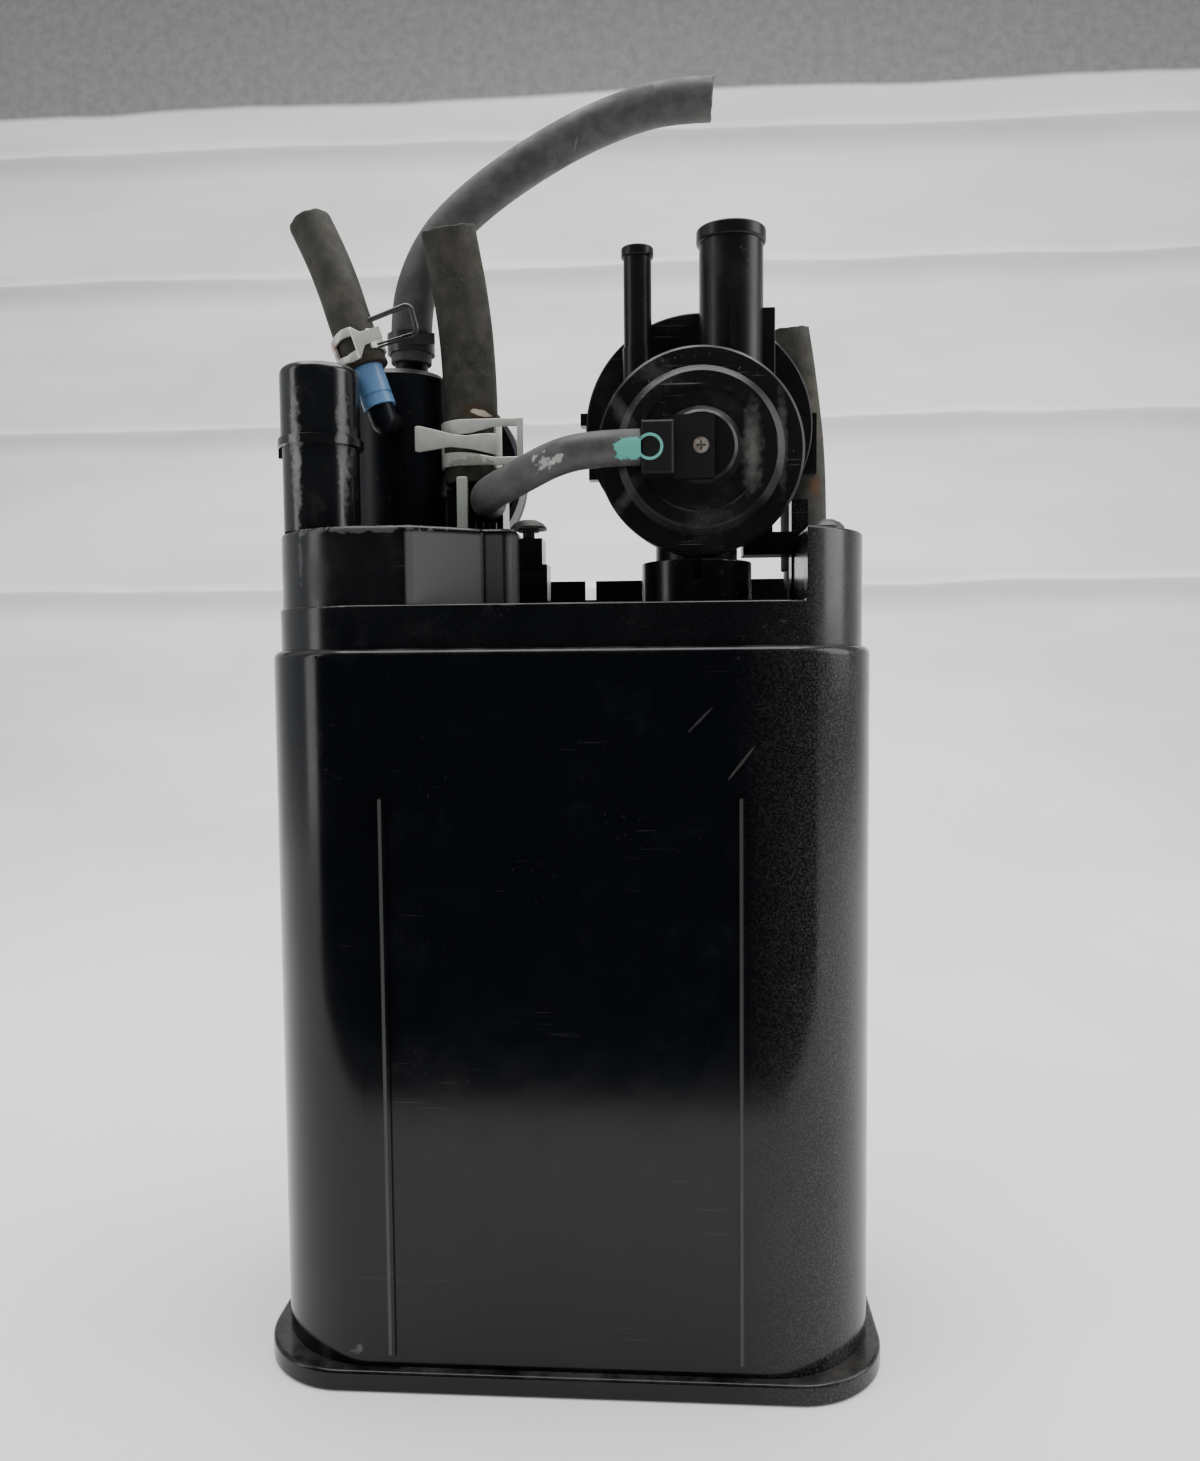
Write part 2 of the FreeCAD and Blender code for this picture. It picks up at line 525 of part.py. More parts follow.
# ---- air filter and vent valve ---------------------------------------------------------------
def air_filter():
    axis = ("filter_x", "filter_y", "manifold_top")
    shell = cylinder("filter_radius", "filter_height", axis)
    room = cylinder("filter_radius - filter_wall", "filter_height",
                    ("filter_x", "filter_y", "manifold_top + filter_wall"))
    duct = cylinder("7", "vent_front - filter_y", ("filter_x", "filter_y", "vent_z"), "Y")
    duct_bore = cylinder("5", "vent_front - filter_y + 1", ("filter_x", "filter_y", "vent_z"), "Y")
    lean = FreeCAD.Rotation(V(0, 1, 0), -SIZES["check_tilt"])
    knee = ("check_x + 4.6 * sin(check_tilt)", "check_y", "check_z - 4.6 * cos(check_tilt)")
    stub = bound("Part::Cylinder", {"Radius": "check_bore + 1", "Height": "4.6"}, knee, lean)
    arm = cylinder("check_bore + 1", "filter_y - check_y", knee, "Y")
    arm_bore = cylinder("2.4", "filter_y - check_y", knee, "Y")
    foot_bore = cylinder("filter_wall + 4", "filter_wall + 2", ("filter_x", "filter_y", "manifold_top - 1"))
    ribs = [box((f"filter_x {shift}", "filter_y - filter_radius - 0.5", "manifold_top"),
                (f"filter_x {shift} + 1.2", "filter_y - filter_radius + 1.5", f"manifold_top + {rise}"))
            for shift, rise in (("- 0.6", 26), ("+ 3.4", 44))]
    node("filter_housing", cut(fuse(shell, duct, stub, arm, ball("check_bore + 1", knee), *ribs),
                               room, duct_bore, arm_bore, foot_bore))
    foam = pipe("filter_radius - filter_wall - inside_gap", "5", "filter_height - filter_wall - 14",
                ("filter_x", "filter_y", "manifold_top + filter_wall"))
    around_duct = cylinder("8", "30", ("filter_x", "filter_y", "vent_z"), "Y")
    node("air_filter_foam", cut(foam, around_duct))
    top = "filter_cap"
    profile = [("0", "0"), ("filter_radius", "0"), ("filter_radius", f"{top} - 2"),
               ("filter_radius - 2.4", top), ("0", top)]
    lid = turned(profile, ("filter_x", "filter_y", "manifold_top + filter_height"))
    collar = cylinder("vapour_bore + 1.6", "nipple_rise", ("nipple_x", "nipple_y", "filter_top"))
    nipple = cylinder("vapour_bore - fit_gap", "nipple_rise + 6.3", ("nipple_x", "nipple_y", "filter_top"))
    bore = cylinder("vapour_bore - 1.5", "40", ("nipple_x", "nipple_y", "filter_top - filter_cap - 1"))
    node("filter_cap", cut(fuse(lid, collar, nipple), bore))


def vent_valve():
    axis = ("vent_x", "vent_front", "vent_z")
    inner = "vent_radius - vent_wall"
    cup = turned([("filter_wall + 2.8", "0"), ("vent_radius - 1.5", "0"), ("vent_radius", "1.5"),
                  ("vent_radius", "vent_depth"),
                  (inner, "vent_depth"), (inner, "2.5"), ("7", "2.5"), ("7", "8"),
                  ("filter_wall + 2.8", "8")], axis, "Y")
    lug = box(("vent_x + vent_radius - 1", "vent_front + 4", "vent_z + 1.5"),
              ("vent_x + vent_radius + 2.2", "vent_front + 12", "vent_z + 7.2"))
    # the duct from the air filter meets the front of the drum off its axis
    inlet = cylinder("5", "4", ("filter_x", "vent_front - 0.5", "vent_z"), "Y")
    node("vent_housing", cut(fuse(cup, lug), inlet))
    rim = "vent_seam + membrane"
    node("vent_cover", turned([("0", "vent_cover - 1.8"), (f"{inner} - 6", "vent_cover - 1.8"),
                               (f"{inner} - 6", "0"),
                               ("vent_radius", "0"), ("vent_radius", "vent_cover - 2.4"),
                               ("vent_radius - 4", "vent_cover - 2.4"),
                               ("vent_radius - 6", "vent_cover"), ("0", "vent_cover")],
                               ("vent_x", rim, "vent_z"), "Y"))
    node("vent_diaphragm", turned([("3.2", "11.3"), ("14", "11.3"), ("17", "vent_depth"),
                                   ("vent_radius - 0.4", "vent_depth"),
                                   ("vent_radius - 0.4", "vent_depth + membrane"),
                                   ("16.3", "vent_depth + membrane"),
                                   ("13.3", "11.3 + membrane"), ("3.2", "11.3 + membrane")], axis, "Y"))
    node("vent_poppet", turned([("0", "8.05"), ("9", "8.05"), ("9", "11.25"), ("3", "11.25"), ("3", "13.4"),
                                ("0", "13.4")],
                               axis, "Y"))
    seat = size("vent_front + 11.3 + membrane")
    length = size("vent_seam + membrane + vent_cover - 1.8") - seat
    shaped("vent_spring", coil(5, 0.55, length, 3), (size("vent_x"), seat, size("vent_z")), AXES["Y"])


def check_valve():
    lean = FreeCAD.Rotation(V(0, 1, 0), -SIZES["check_tilt"])
    at = ("check_x", "check_y", "check_z")
    body = doc.addObject("PartDesign::Body", "Turned")
    sketch = new_sketch(body, "XZ_Plane")
    closed_profile(sketch, [("0.0", "0"), ("check_radius", "0"), ("check_radius", "3.2"),
                            ("check_radius - 0.35", "3.3"),
                            ("check_radius - 0.35", "3.9"), ("check_radius", "4"),
                            ("check_radius", "check_length"),
                            ("vapour_bore - fit_gap", "check_length"),
                            ("vapour_bore - fit_gap", "check_length + 4.9"),
                            ("0.0", "check_length + 4.9")])
    spin = body.newObject("PartDesign::Revolution", "Revolution")
    spin.Profile = sketch
    spin.ReferenceAxis = (sketch, ["V_Axis"])
    spin.Angle = 360
    body.Tip = spin
    place(body, at, lean)
    along = lambda run: (f"check_x - {run} * sin(check_tilt)", "check_y",
                         f"check_z + {run} * cos(check_tilt)")
    way = bound("Part::Cylinder", {"Radius": "1.8", "Height": "check_length + 13"}, along("-1"), lean)
    room = bound("Part::Cylinder", {"Radius": "check_bore", "Height": "5"}, along("5"), lean)
    node("check_valve", cut(body, way, room))
    node("check_disc", bound("Part::Cylinder", {"Radius": "check_disc", "Height": "1.2"}, along("5.05"),
                             lean))


# ---- tank-pressure valve ---------------------------------------------------------------------
def pressure_valve():
    front = ("valve_x", "valve_front", "valve_z")
    drum = cylinder("valve_radius", "valve_back - valve_front", front, "Y")
    back_plate = rounded(cylinder("ring_radius", "ring_plate",
                                  ("valve_x", "valve_back - ring_plate", "ring_z"), "Y"),
                         "2 * small_round",
                         lambda e: e.BoundBox.YMax < size("valve_back - ring_plate") + 0.01)
    big = cylinder("big_tube", "big_top - valve_z", ("big_tube_x", "tube_y", "valve_z"))
    big_bead = rounded(cylinder("big_tube + bead", "4.4", ("big_tube_x", "tube_y", "big_top - 4.4")), "0.88",
                       lambda e: e.BoundBox.ZLength < 0.01)
    small = fuse(cylinder("small_tube", "small_top - valve_z", ("small_tube_x", "tube_y", "valve_z")),
                 cylinder("small_tube + 0.4", "34.5", ("small_tube_x", "tube_y", "valve_z")))
    small_bead = rounded(cylinder("small_tube + bead - 0.2", "3.2",
                                  ("small_tube_x", "tube_y", "small_top - 3.2")), "0.6",
                         lambda e: e.BoundBox.ZLength < 0.01)
    fin = rounded(box(("big_tube_x + 9", "tube_y - 1.5", "valve_z + 20"),
                      ("big_tube_x + 13.6", "tube_y + 1.5", "valve_z + 46")), "small_round", lambda e: True)
    rib = box(("big_tube_x - 1.1", "tube_y - big_tube - 1.2", "valve_z + 28"),
              ("big_tube_x + 0.9", "tube_y", "valve_z + 44"))
    cover_room = cylinder("cover_radius + 0.2", "20", ("valve_x", "valve_front - 20", "valve_z"), "Y")
    back_room = cylinder("ring_radius + 0.1", "20", ("valve_x", "valve_back", "ring_z"), "Y")
    neck = cylinder("neck_radius", "valve_z - 22 - neck_foot", ("cup_x", "cup_y", "neck_foot"))
    arm = box(("valve_x + 14", "cup_y + 3", "valve_z - 30"),
              ("valve_x + valve_radius - 0.2", "cup_y + 14.4", "valve_z - 22.8"))
    hook = box(("valve_x + 20", "cup_y + 4", "valve_z - 23"),
               ("valve_x + 23.5", "cup_y + 10", "valve_z - 20.4"))
    cavity = cylinder("valve_radius - 4", "14.4", ("valve_x", "valve_front", "valve_z"), "Y")
    big_way = cylinder("big_bore", "big_top - valve_z", ("big_tube_x", "tube_y", "valve_z + 8"))
    small_way = cylinder("small_bore", "small_top - valve_z", ("small_tube_x", "tube_y", "valve_z + 8"))
    neck_way = cylinder("neck_bore", "12", ("cup_x", "cup_y", "neck_foot - 1"))
    riser = box(("cup_x - 4", "valve_back - 3.5", "neck_foot + 8"),
                ("cup_x + 4", "valve_back + 1", "valve_z - 14"))
    groove = pipe("neck_radius + 1", "neck_radius - 1.4", "2.2", ("cup_x", "cup_y", "neck_foot + 2.5"))
    solid = cut(fuse(drum, back_plate, big, big_bead, small, small_bead, fin, rib, neck, arm, hook),
                cavity, big_way, small_way, neck_way, riser, groove, cover_room, back_room)
    seat = cylinder("seat_radius", "valve_back - seat_front", ("valve_x", "seat_front", "valve_z"), "Y")
    seat_way = cylinder("seat_bore", "valve_back - seat_front + 2", ("valve_x", "seat_front - 1", "valve_z"),
                        "Y")
    node("valve_body", cut(fuse(solid, seat), seat_way))
    node("neck_o_ring", ring("neck_radius - 0.35", "0.95", ("cup_x", "cup_y", "neck_foot + 3.6")))

    seam = ("valve_x", "valve_seam", "valve_z")
    deep = "valve_seam - cover_front"
    profile = [("cover_radius", "0"), ("cover_radius", f"-({deep}) + 0.8"),
               ("cover_radius - 0.8", f"-({deep})"),
               ("step_radius + 1.4", f"-({deep})"), ("step_radius", f"-({deep}) - 1"),
               ("step_radius", f"-({deep}) - step_rise + 0.7"),
               ("step_radius - 1", f"-({deep}) - step_rise"), ("step_radius - 5", f"-({deep}) - step_rise"),
               ("step_radius - 5.6", f"-({deep}) - step_rise + 0.7"),
               ("boss_radius + 1.6", f"-({deep}) - step_rise + 0.2"),
               ("boss_radius", f"-({deep}) - boss_rise + 1"), ("boss_radius - 1", f"-({deep}) - boss_rise"),
               ("0", f"-({deep}) - boss_rise"), ("0", f"-({deep}) - 2.4"),
               ("boss_radius - 2.4", f"-({deep}) - 2.4"),
               ("boss_radius - 2.4", f"-({deep}) - 1"), ("step_radius - 2.6", f"-({deep}) - 1"),
               ("step_radius - 2.6", "0")]
    dome = turned(profile, seam, "Y")
    stub_block = rounded(box(("stub_left", "stub_y - 4.2", "valve_z - 9"),
                             ("stub_left + 9.6", "cover_front - step_rise + 0.5", "valve_z + 6.6")),
                         "1", lambda e: e.BoundBox.YMax < size("stub_y - 4.1"))
    pad = box(("stub_left + 9", "cover_front - boss_rise - 1.2", "valve_z - 10"),
              ("valve_x + 4", "cover_front - step_rise + 0.5", "valve_z + 9"))
    stub = cylinder("signal_bore - fit_gap", "6.4", ("stub_left + 1", "stub_y", "stub_z"), "-X")
    stub_way = cylinder("signal_bore - 1.4", "18", ("stub_left + 7", "stub_y", "stub_z"), "-X")
    screw_hole = cylinder("screw_radius + fit_gap", "6",
                          ("valve_x", "cover_front - boss_rise - 2", "valve_z"), "Y")
    node("valve_front_cover", cut(fuse(dome, stub_block, pad, stub), stub_way, screw_hole))
    head = cylinder("screw_radius", "4.5", ("valve_x", "cover_front - boss_rise - 1", "valve_z"), "Y")
    cross = [box(("valve_x - 1.4", "cover_front - boss_rise - 1.5", "valve_z - 0.3"),
                 ("valve_x + 1.4", "cover_front - boss_rise", "valve_z + 0.3")),
             box(("valve_x - 0.3", "cover_front - boss_rise - 1.5", "valve_z - 1.4"),
                 ("valve_x + 0.3", "cover_front - boss_rise", "valve_z + 1.4"))]
    node("adjusting_screw", cut(head, *cross))

    # the diaphragm dips from its clamped rim to the poppet's flat
    rest = "seat_front - 2.2 - valve_seam"
    node("valve_diaphragm", turned([("3.2", f"{rest} - membrane"), ("13", f"{rest} - membrane"),
                                    ("16.5", "0"), ("valve_radius - 0.4", "0"),
                                    ("valve_radius - 0.4", "membrane"), ("15.8", "membrane"), ("12.3", rest),
                                    ("3.2", rest)], seam, "Y"))
    seat_at = ("valve_x", "seat_front", "valve_z")
    node("valve_poppet", turned([("0", "-0.05"), ("11", "-0.05"), ("11", "-2.15"), ("3", "-2.15"),
                                 ("3", "-4.2"), ("0", "-4.2")], seat_at, "Y"))
    start = size("cover_front - 2.4")
    stop = size("seat_front - 2.2 - membrane")
    shaped("valve_spring", coil(6, 0.6, stop - start, 4), (size("valve_x"), start, size("valve_z")),
           AXES["Y"])

    back = ("valve_x", "valve_back", "ring_z")
    shell = turned([("back_radius - 2.2", "0"), ("ring_radius", "0"), ("ring_radius", "2.4"),
                    ("ring_radius - 0.8", "3.2"),
                    ("back_radius", "3.2"), ("back_radius", "back_depth - 3"),
                    ("back_radius - 3", "back_depth"), ("0", "back_depth"),
                    ("0", "back_depth - 2.2"), ("back_radius - 2.2", "back_depth - 2.2")], back, "Y")
    lugs = [box((f"valve_x {low}", "valve_back", f"ring_z {foot}"),
                (f"valve_x {high}", "valve_back + 5", f"ring_z {top}"))
            for low, high, foot, top in (("- ring_radius - 2", "- ring_radius + 2", "+ 2", "+ 6"),
                                         ("- ring_radius + 0.6", "- ring_radius + 6", "- 15.5", "- 11.5"),
                                         ("+ ring_radius - 5", "+ ring_radius + 1.6", "- 15", "+ 4.5"))]
    node("valve_back_cover", fuse(shell, *lugs))


# ---- hoses and clamps ------------------------------------------------------------------------
# Routes are lists of points chosen by hand, (x, y, height above the deck); the first and last are the ends.
ROUTES = {
    "long_hose": [(-55.5, 6, 84.7), (-55.5, 6, 98.2), (-53.4, 7, 112), (-46.6, 9, 127), (-35, 9.5, 138.6),
                  (-18.2, 8.5, 149.6), (1.5, 7, 159.6), (21, 5.5, 166.2), (35.7, 4.6, 168.4),
                  (47.9, 4.6, 168.2)],
    "main_hose": [(-33.6, -2, 42.2), (-33.6, -2, 64), (-34.2, -3, 86.8), (-35.9, -5, 104.1),
                  (-38.2, -7.5, 117.8),
                  (-39.3, -9, 124.9)],
    "signal_hose": [("stub_left", "stub_y", "stub_z"), ("stub_left - 12.2", "stub_y", "stub_z"),
                    ("valve_x - cover_radius - 11", -39.4, "stub_z - 1.3"),
                    ("valve_x - cover_radius - 24", -33, "stub_z - 6.5"), (-23.6, -27.5, 35.6),
                    (-26.5, -18, 34.8), (-26.5, -9, 34.8)],
    "left_hose": [(-64.94, -17, 77.52), (-69.49, -17, 90.73), (-74.6, -15.2, 106.4), (-81, -12.8, 120.6),
                  (-84.3, -12, 126.8)],
    "right_hose": [(79.5, 22, 14), (79.5, 22, 33.7), (78.8, 22, 56.3), (76.8, 22, 73.6),
                   (74.8, 22, 88.6),
                   (73, 22, 99)],
}
BORES = {"long_hose": "vapour_bore", "main_hose": "main_bore", "signal_hose": "signal_bore",
         "left_hose": "vapour_bore", "right_hose": "vapour_bore"}
RADII = {"long_hose": "long_hose", "main_hose": "main_hose", "signal_hose": "signal_hose",
         "left_hose": "long_hose", "right_hose": "right_hose"}


def route_wire(points):
    """Straight runs joined by tangent arcs, each arc as large as its two runs allow."""
    points = [V(*point) for point in points]
    edges, at, radii = [], points[0], []
    for before, corner, after in zip(points, points[1:], points[2:]):
        inward, outward = (before - corner), (after - corner)
        shorter = 0.45 * min(inward.Length, outward.Length)
        half_turn = (math.pi - inward.getAngle(outward)) / 2
        radii.append(shorter / math.tan(half_turn))
        start = corner + V(inward).normalize() * shorter
        stop = corner + V(outward).normalize() * shorter
        bisector = (V(inward).normalize() + V(outward).normalize()).normalize()
        middle = corner + bisector * radii[-1] * (1 / math.cos(half_turn) - 1)
        edges += [Part.LineSegment(at, start).toShape(), Part.Arc(start, middle, stop).toShape()]
        at = stop
    edges.append(Part.LineSegment(at, points[-1]).toShape())
    return Part.Wire(edges), radii


def sweep(path, radius, points):
    heading = V(*points[1]) - V(*points[0])
    section = Part.Wire(Part.makeCircle(radius, V(*points[0]), heading))
    return path.makePipeShell([section], True, False)


def hoses():
    for name, route in ROUTES.items():
        points = [(size(x), size(y), size(z if isinstance(z, str) else f"deck_top + {z}"))
                  for x, y, z in route]
        path, radii = route_wire(points)
        outer, inner = size(RADII[name]), size(BORES[name])
        tube = sweep(path, outer, points).cut(sweep(path, inner, points))
        expected = math.pi * (outer ** 2 - inner ** 2) * path.Length
        print(f"{name}: length {path.Length:.1f} mm, bend radii {[round(r) for r in radii]}, "
              f"volume {tube.Volume / expected:.4f} of section x length")
        shaped(name, tube)


def strap(radius, height, slots, tabs):
    """A flat spring-steel band round a hose, slotted in front, with its two squeeze tabs."""
    bore = radius + size("strap_gap")
    inner = Part.makeCylinder(bore, height)
    shape = Part.makeCylinder(bore + size("band"), height)
    for low, high in slots:
        shape = shape.cut(Part.makeBox(radius * 1.5, radius + 3, high - low,
                                       V(-radius * 0.75, -radius - 3, low)))
    for low, high in tabs:
        shape = shape.fuse(Part.makeBox(*[b - a for a, b in zip(low, high)], V(*low)))
    return shape.cut(inner).removeSplitter()


def clamps():
    band = size("band")
    radius = size("main_hose")
    front = -radius - size("strap_gap") - band
    tabs = [((-17, front, 5), (0, front + band, 9.4)),
            ((0, front, 9.7), (18.4, front + band, 15)), ((0, front, 0), (18.4, front + band, 4.4)),
            ((17, front, 0), (18.4, front + band, 15))]
    at = (size("main_port_x"), size("main_port_y"), size("port_block_top") + 7.2)
    shaped("main_hose_clamp", strap(radius, 15, ((4.4, 5), (9.4, 9.7)), tabs), at)
    lean = FreeCAD.Rotation(V(0, 1, 0), -SIZES["check_tilt"])
    radius = size("long_hose")
    front = -radius - size("strap_gap") - band
    tabs = [((0, front, 3.2), (10, front + band, 5.8)), ((0, front, 0), (21, front + band, 1.8)),
            ((0, front, 7.2), (21, front + band, 9)), ((19.4, front, 0), (21, front + band, 9)),
            ((9.2, front, 0), (10.8, front + band, 9))]
    run = SIZES["check_length"] + 1.6
    tilt = math.radians(SIZES["check_tilt"])
    at = (size("check_x") - run * math.sin(tilt), size("check_y"), size("check_z") + run * math.cos(tilt))
    shaped("left_hose_clamp", strap(radius, 9, ((2.4, 6.6),), tabs), at, lean)
    at = (size("nipple_x"), size("nipple_y"), size("filter_top") + 7.5)
    tabs = [((0, front, 1.5), (9.8, front + band, 5))]
    shaped("long_hose_clamp", strap(radius, 6.5, (), tabs), at)


bottom_cover()
canister_case()
beds()
pressure_plates()
plate_springs()
top_cover()
manifold()
left_port()
push_clips()
air_filter()
vent_valve()
check_valve()
pressure_valve()
hoses()
clamps()

# ---- check and write -------------------------------------------------------------------------
doc.recompute()
failed = [obj.Label for obj in doc.Objects if {"Invalid", "Error"} & set(obj.State)]
if failed:
    raise RuntimeError(f"failed objects: {failed}")
for obj in NODES:
    if obj.Shape.isNull() or not obj.Shape.isValid() or not obj.Shape.Solids:
        raise RuntimeError(f"{obj.Label} has no sound shape")
os.makedirs("parts", exist_ok=True)
for obj in NODES:
    obj.Shape.exportStep(f"parts/{obj.Label}.step")
    print(f"{obj.Label}: {len(obj.Shape.Solids)} solid(s), {obj.Shape.Volume:.1f} mm3")
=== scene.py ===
"""Looks of a used fuel-vapour charcoal canister: moulded case, deck, valves, cut hoses and spring clamps."""

import logging
import math
from dataclasses import dataclass, field
from enum import Enum
from typing import Sequence

import bmesh
import bpy
import numpy as np
from mathutils import Matrix, Vector


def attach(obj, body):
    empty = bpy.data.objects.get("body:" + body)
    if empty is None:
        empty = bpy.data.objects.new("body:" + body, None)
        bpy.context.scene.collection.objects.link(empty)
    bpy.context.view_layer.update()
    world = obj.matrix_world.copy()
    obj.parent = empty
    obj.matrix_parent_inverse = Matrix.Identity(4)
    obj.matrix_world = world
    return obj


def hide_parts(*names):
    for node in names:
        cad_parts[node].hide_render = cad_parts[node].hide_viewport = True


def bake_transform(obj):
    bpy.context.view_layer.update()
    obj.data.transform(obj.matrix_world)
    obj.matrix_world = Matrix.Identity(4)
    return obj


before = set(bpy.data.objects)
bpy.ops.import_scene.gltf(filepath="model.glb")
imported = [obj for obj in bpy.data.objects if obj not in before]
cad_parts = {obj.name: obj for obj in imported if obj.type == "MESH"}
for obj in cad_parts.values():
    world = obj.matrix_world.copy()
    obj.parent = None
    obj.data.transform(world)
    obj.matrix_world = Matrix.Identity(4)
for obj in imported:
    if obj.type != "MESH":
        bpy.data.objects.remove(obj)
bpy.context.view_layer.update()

Array = np.ndarray
Colour = tuple[float, float, float]
Point = tuple[float, float, float]
MM = 0.001
FULL_TURN = 2 * math.pi
SHARP_EDGE = math.radians(32)
LOG = logging.getLogger("canister")


# ---- surfaces --------------------------------------------------------------------------------
class Way(Enum):
    """A way that a shape's own Z points, as the shape's three axes in the frame."""

    UP = ((1, 0, 0), (0, 1, 0), (0, 0, 1))
    BACK = ((1, 0, 0), (0, 0, -1), (0, 1, 0))
    FRONT = ((1, 0, 0), (0, 0, 1), (0, -1, 0))

    def turn(self, points: Array) -> Array:
        """Points given along the shape's own axes, in the frame's axes."""
        return points @ np.array(self.value, float)

    def axis(self) -> int:
        """The number of the frame's axis that it lies along."""
        return int(np.abs(self.value[2]).argmax())

    def backwards(self) -> bool:
        """True if it points down that axis."""
        return sum(self.value[2]) < 0


@dataclass
class Patch:
    """A surface as an array of points, its quads, and the flat faces that close its ends."""

    points: Array
    quads: Array
    caps: list[Array] = field(default_factory=list)

    def moved(self, offset: Sequence[float], turn: Matrix | None = None) -> "Patch":
        """The patch turned and then shifted.

        Args:
            offset: the shift in metres.
            turn: a rotation about the origin, applied first.

        Returns:
            A patch with new points and the same faces.
        """
        points = self.points if turn is None else self.points @ np.array(turn.to_3x3()).T
        return Patch(points + np.asarray(offset, float), self.quads, self.caps)


def grid(points: Array, wrap_rows: bool = False, wrap_columns: bool = True, caps: bool = False) -> Patch:
    """Joins a grid of points, rows by columns, with quads.

    Args:
        points: an array of shape (rows, columns, 3).
        wrap_rows: True if the last row joins the first.
        wrap_columns: True if the last column joins the first.
        caps: True if the first and the last row are each closed by one flat face.

    Returns:
        The patch of all the quads.
    """
    rows, columns = points.shape[:2]
    row, column = np.meshgrid(np.arange(rows if wrap_rows else rows - 1),
                              np.arange(columns if wrap_columns else columns - 1), indexing="ij")
    below, beside = (row + 1) % rows, (column + 1) % columns
    quads = np.stack([row * columns + column, row * columns + beside,
                      below * columns + beside, below * columns + column], -1).reshape(-1, 4)
    ends = [np.arange(columns)[::-1], (rows - 1) * columns + np.arange(columns)] if caps else []
    return Patch(points.reshape(-1, 3), quads, ends)


def soften(corners: Sequence[Sequence[float]], radii: float | Sequence[float], steps: int = 5,
           closed: bool = True) -> Array:
    """Replaces a polyline's corners by circular arcs.

    Each arc is the rational quadratic curve (a P + c Q + b R) / (a + c + b), where Q is the corner, P and R
    are the tangent points, and the corner's weight is the sine of half its angle.

    Args:
        corners: the polyline's points.
        radii: one radius, or one for each corner.
        steps: points on each arc.
        closed: False if the two ends are left as they are.

    Returns:
        The softened polyline.
    """
    spots = np.asarray(corners, float)
    back, ahead = np.roll(spots, 1, 0) - spots, np.roll(spots, -1, 0) - spots
    reach_back, reach_ahead = np.linalg.norm(back, axis=1), np.linalg.norm(ahead, axis=1)
    back, ahead = back / reach_back[:, None], ahead / reach_ahead[:, None]
    half = np.arccos(np.clip((back * ahead).sum(1), -1, 1)) / 2
    wanted = np.broadcast_to(np.asarray(radii, float), len(spots)).copy()
    if not closed:
        wanted[[0, -1]] = 0
    cut = np.minimum(wanted / np.tan(np.clip(half, 1e-4, None)), 0.49 * np.minimum(reach_back, reach_ahead))
    start, stop = spots + back * cut[:, None], spots + ahead * cut[:, None]
    t = np.linspace(0, 1, steps)[None, :, None]
    a, b, c = (1 - t) ** 2, t ** 2, 2 * t * (1 - t) * np.sin(half)[:, None, None]
    arcs = (a * start[:, None] + c * spots[:, None] + b * stop[:, None]) / (a + b + c)
    return arcs.reshape(-1, spots.shape[1])


def turned(loop: Array, centre: Sequence[float], way: Way, segments: int) -> Patch:
    """A ring of revolution: each (radius, height) point of a closed loop goes round the axis.

    Args:
        loop: (radius, height) points in metres.
        centre: where height 0 lies on the axis.
        way: the way that height grows.
        segments: points round the axis.

    Returns:
        The turned patch.
    """
    angle = np.arange(segments) * FULL_TURN / segments
    radius, height = loop[:, 0, None], loop[:, 1, None]
    points = np.stack([radius * np.cos(angle), radius * np.sin(angle), height + 0 * angle], -1)
    return grid(way.turn(points), wrap_rows=True).moved(centre)


def inset_outline(outline: Array, insets: Array) -> Array:
    """A closed outline moved inwards by each inset, along the mitre of its two edges at every point.

    Args:
        outline: (n, 2) points, anticlockwise.
        insets: (m,) distances.

    Returns:
        An array of shape (m, n, 2).
    """
    ahead = np.roll(outline, -1, 0) - outline
    ahead /= np.linalg.norm(ahead, axis=1)[:, None]
    normal = np.stack([-ahead[:, 1], ahead[:, 0]], 1)
    mitre = normal + np.roll(normal, 1, 0)
    mitre /= (mitre * mitre).sum(1)[:, None] / 2
    return outline[None] + insets[:, None, None] * mitre[None]


def without_repeats(line: Array) -> Array:
    """A closed polyline with no two following points at one place."""
    keep = np.linalg.norm(np.roll(line, -1, 0) - line, axis=1) > 1e-7
    return line[keep]


def block(low: Sequence[float], high: Sequence[float], edge: float, steps: int = 4) -> Patch:
    """A box with every edge rounded: the profile (inset, height) is carried round its rounded plan.

    Args:
        low: its lowest corner in metres.
        high: its highest corner.
        edge: radius of every edge.
        steps: points on each rounding.

    Returns:
        A closed patch with flat caps.
    """
    plan = soften([(low[0], low[1]), (high[0], low[1]), (high[0], high[1]), (low[0], high[1])], edge, steps)
    deep = 1.5 * edge
    profile = soften([(deep, low[2]), (0, low[2]), (0, high[2]), (deep, high[2])], [0, edge, edge, 0], steps,
                     closed=False)
    profile = profile[steps - 1:len(profile) - steps + 1]
    rings = inset_outline(without_repeats(plan), profile[:, 0])
    heights = np.broadcast_to(profile[:, 1][:, None, None], rings.shape[:2] + (1,))
    return grid(np.concatenate([rings, heights], -1), caps=True)


